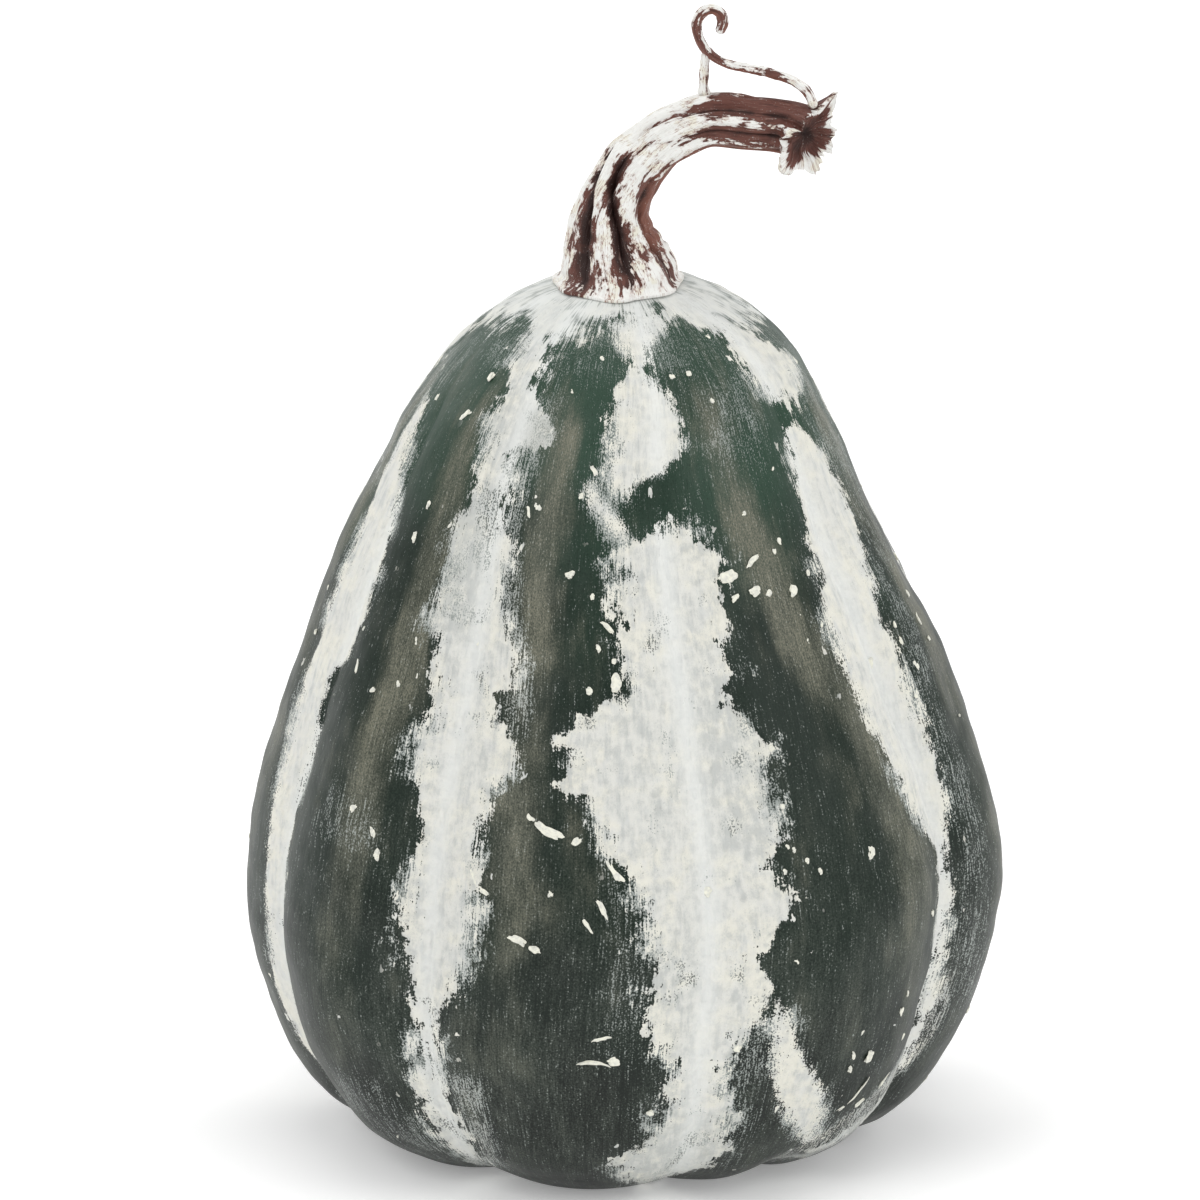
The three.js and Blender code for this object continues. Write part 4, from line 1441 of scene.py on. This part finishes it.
LOWER_DABS = (
    Dab(-12.5, 104, 7.4, 2.3, -66), Dab(-16, 107, 2.2, 1.2, -50), Dab(-8, 102, 2.6, 1.6, 60),
    Dab(-10, 46.5, 7.0, 0.9, 82), Dab(-4, 45, 6.5, 0.9, -84), Dab(-1, 45.5, 3.2, 1.9, 70),
    Dab(-13, 50, 2.8, 1.0, 10), Dab(-3, 52, 4.0, 0.9, 78), Dab(-50, 101, 3.4, 1.6, 40),
    Dab(44, 38, 3.4, 2.4, 30), Dab(40, 40, 2.4, 1.1, -20), Dab(40, 36, 1.8, 1.2),
    Dab(54, 39, 2.6, 1.3, 20), Dab(41, 46, 1.6, 1.0, 60), Dab(61, 26, 3.6, 1.3, 45),
    Dab(52, 52, 1.8, 1.1), Dab(44, 28, 7.5, 0.8, 38), Dab(41, 24, 3.4, 1.3, 62),
    Dab(62, 30, 5.0, 1.5, 40), Dab(52, 28, 4.2, 1.0, 48), Dab(46, 24, 3.8, 1.1, 58),
    Dab(27, 68, 1.5, 1.1), Dab(24, 68, 1.3, 1.0), Dab(-45, 97, 2.6, 1.3, -30),
    Dab(-43.5, 92, 2.6, 1.7, 10), Dab(-53, 98, 1.8, 1.2, 20), Dab(-25, 91, 3.6, 1.6, -30),
    Dab(-23, 88, 3.0, 1.2, -60), Dab(-17, 77, 4.8, 1.6, -70), Dab(-14, 75, 2.6, 1.5, -60),
    Dab(-4, 86, 4.8, 1.1, -28), Dab(-6, 81, 4.6, 1.0, -30), Dab(-4, 78, 2.8, 1.0, -40),
    Dab(-2, 95, 6.0, 1.5, -33), Dab(42, 93, 3.2, 1.9, 10), Dab(32, 91, 1.6, 1.0),
    Dab(27, 69, 1.6, 1.1), Dab(26, 92, 1.4, 1.0), Dab(30, 94, 1.4, 1.0), Dab(-12, 89, 1.6, 1.3),
    Dab(27, 108, 1.4, 1.0), Dab(28, 97, 1.4, 1.0))
DABS = UPPER_DABS + MIDDLE_DABS + LOWER_DABS


@dataclass
class PaintDabs:
    """Raised dabs and beads of cream paint on the body, modelled one by one."""

    listed: tuple[Dab, ...] = DABS
    scattered: int = 70
    seed: int = 7
    smallest: float = 0.7
    largest: float = 2.6
    thickness: float = 0.3
    thickest: float = 1.6
    raggedness: float = 0.34
    bluntness: float = 0.75
    crook: float = 0.07
    knob_size: float = 1.7
    grain_size: float = 0.8
    grain_share: float = 0.6
    fine_from: float = 2.9
    probe: float = 1.5
    heights: Span = (12.0, 205.0)
    front: float = 80.0
    left_out_in_front: float = 0.7
    small_ones: float = 1.2
    slimness: Span = (0.45, 0.9)
    most_lean: float = 50.0

    def _dab(self, dab: Dab, body: SquashBody, number: int) -> Piece:
        """Models one dab: a flattened, uneven ball that sits in the skin.

        Args:
            dab: The dab.
            body: The body that it lies on.
            number: Its number, which seeds its unevenness.

        Returns:
            The dab's object.
        """
        near = np.array([0.0, self.probe, 0.0]) + dab.bearing
        spots = body.on_skin(near, np.array([dab.height, dab.height, dab.height + self.probe]))
        right, up = (Vector(spots[i] - spots[0]).normalized() for i in (1, 2))
        out = right.cross(up).normalized()
        select_none()
        finer = dab.length > self.fine_from
        bpy.ops.mesh.primitive_ico_sphere_add(subdivisions=4 if finer else 3, radius=1.0)
        piece = name_new(f"dab_{number:03d}")
        ball = read_points(piece)
        knobs = unevenness(ball, self.knob_size, self.seed * 1000 + number)
        knobs += self.grain_share * unevenness(ball, self.grain_size, self.seed + number)
        ball *= 1.0 + self.raggedness * knobs[:, None]
        lean = math.radians(dab.lean)
        tall = np.sign(ball[:, 1]) * np.abs(ball[:, 1]) ** self.bluntness * dab.length / 2.0
        crook = math.sin(float(number)) * (dab.length - dab.width) * self.crook
        wide = ball[:, 0] * dab.width / 2.0 + crook * (ball[:, 1] ** 2 - 0.4)
        x = wide * math.cos(lean) + tall * math.sin(lean)
        y = tall * math.cos(lean) - wide * math.sin(lean)
        z = ball[:, 2] * self.thickness * min(self.thickest, 0.5 + 0.3 * dab.width)
        frame = np.array([right, up, out])
        move_points(piece, spots[0] + np.stack([x, y, z], -1) @ frame)
        bpy.ops.object.shade_smooth()
        return piece

    def build(self, body: SquashBody) -> Piece:
        """Models all the dabs.

        Args:
            body: The body that they lie on.

        Returns:
            One object that holds them.
        """
        random = np.random.default_rng(self.seed)
        dabs = list(self.listed)
        while len(dabs) < len(self.listed) + self.scattered:
            bearing, height = random.uniform(-180.0, 180.0), random.uniform(*self.heights)
            if abs(bearing) < self.front and random.uniform() < self.left_out_in_front:
                continue
            length = random.uniform(self.smallest, self.largest) ** self.small_ones
            width = length * random.uniform(*self.slimness)
            dabs.append(Dab(bearing, height, length, width, random.uniform(-self.most_lean, self.most_lean)))
        return join("paint_dabs", [self._dab(dab, body, number) for number, dab in enumerate(dabs)])


# ------------------------------------------------------------------------------ the studio


WHITE = (1.0, 1.0, 1.0, 1.0)


def facing(way: Vector) -> Euler:
    """The turn of a light or camera that faces a way."""
    return way.to_track_quat("-Z", "Y").to_euler()


@dataclass
class Studio:
    """A plain pale floor, soft light from all round, and the camera."""

    floor_side: float = 40.0
    floor_colour: Colour = (0.91, 0.91, 0.91, 1.0)
    floor_rough: float = 0.9
    floor_gloss: float = 0.1
    floor_glow: float = 0.24
    camera_rise: float = 17.0
    camera_distance: float = 10.0
    camera_aim: tuple[float, float, float] = (-0.00557, 0.0, 0.1386)
    view_width: float = 0.3036
    sensor: float = 36.0
    sees_to: float = 100.0
    sky: float = 0.5
    lit_at: tuple[float, float, float] = (0.0, 0.0, 0.12)
    panels: tuple[tuple[str, tuple[float, float, float], float, float], ...] = (
        ("key_panel", (-1.5, -1.5, 1.7), 1.5, 17.0),
        ("fill_panel", (1.7, -1.2, 1.2), 1.5, 13.0),
        ("top_panel", (0.0, 0.1, 2.3), 1.8, 17.0),
        ("back_left_panel", (-1.5, 1.5, 1.2), 1.3, 11.0),
        ("back_right_panel", (1.5, 1.5, 1.4), 1.3, 11.0))

    def build(self) -> None:
        """Sets the floor, the light and the camera up."""
        self._floor()
        self._light()
        self._camera()

    def _floor(self) -> None:
        """Lays the floor."""
        select_none()
        bpy.ops.mesh.primitive_plane_add(size=self.floor_side)
        floor = name_new("floor")
        material, sheet, shader = new_material("pale_floor")
        sheet.feed(shader, {
            "Base Color": self.floor_colour, "Roughness": self.floor_rough,
            "Specular IOR Level": self.floor_gloss, "Emission Color": WHITE,
            "Emission Strength": self.floor_glow})
        floor.data.materials.append(material)

    def _light(self) -> None:
        """Adds the sky and the soft panels, each aimed at the squash."""
        world = bpy.data.worlds.new("studio")
        world.use_nodes = True
        backdrop = next(node for node in world.node_tree.nodes if node.type == "BACKGROUND")
        backdrop.inputs["Color"].default_value = WHITE
        backdrop.inputs["Strength"].default_value = self.sky
        bpy.context.scene.world = world
        for name, place, side, power in self.panels:
            bpy.ops.object.light_add(type="AREA", location=place,
                                     rotation=facing(Vector(self.lit_at) - Vector(place)))
            panel = bpy.context.object
            panel.name = name
            panel.data.size = side
            panel.data.energy = power

    def _camera(self) -> None:
        """Adds the camera, in front and a little above."""
        rise = math.radians(self.camera_rise)
        aim = Vector(self.camera_aim)
        way = Vector((0.0, math.cos(rise), -math.sin(rise)))
        bpy.ops.object.camera_add(location=aim - way * self.camera_distance,
                                  rotation=facing(way))
        camera = bpy.context.object
        camera.data.sensor_width = self.sensor
        camera.data.lens = self.sensor * self.camera_distance / self.view_width
        camera.data.clip_end = self.sees_to
        bpy.context.scene.camera = camera
        bpy.context.scene.view_settings.view_transform = "Standard"


# ------------------------------------------------------------------------------ all together


def dress(piece: Piece, material: bpy.types.Material) -> None:
    """Gives a piece its material, and lets it ride with the squash.

    Args:
        piece: The piece.
        material: Its material.
    """
    piece.data.materials.clear()
    piece.data.materials.append(material)
    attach(piece, BODY_OF_ALL)
    LOG.info("%s: %d faces, finished as %s", piece.name, len(piece.data.polygons), material.name)


def main() -> None:
    """Builds the squash, piece by piece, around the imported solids."""
    logging.basicConfig(level=logging.INFO, format="%(name)s: %(message)s")
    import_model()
    Studio().build()

    body = SquashBody()
    dabs = PaintDabs().build(body)
    dress(dabs, ThickPaint().material())

    skin = body.build()
    dress(skin, SkinPaint().material(Effects()))
    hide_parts("squash_body")

    stem = Stem().build(body)
    dress(stem, ChippedPaint("chipped_stem").material())
    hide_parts("stem")

    tendril = Tendril().build()
    dress(tendril, ChippedPaint("chipped_tendril").material())
    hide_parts("tendril")


if __name__ == "__main__":
    main()
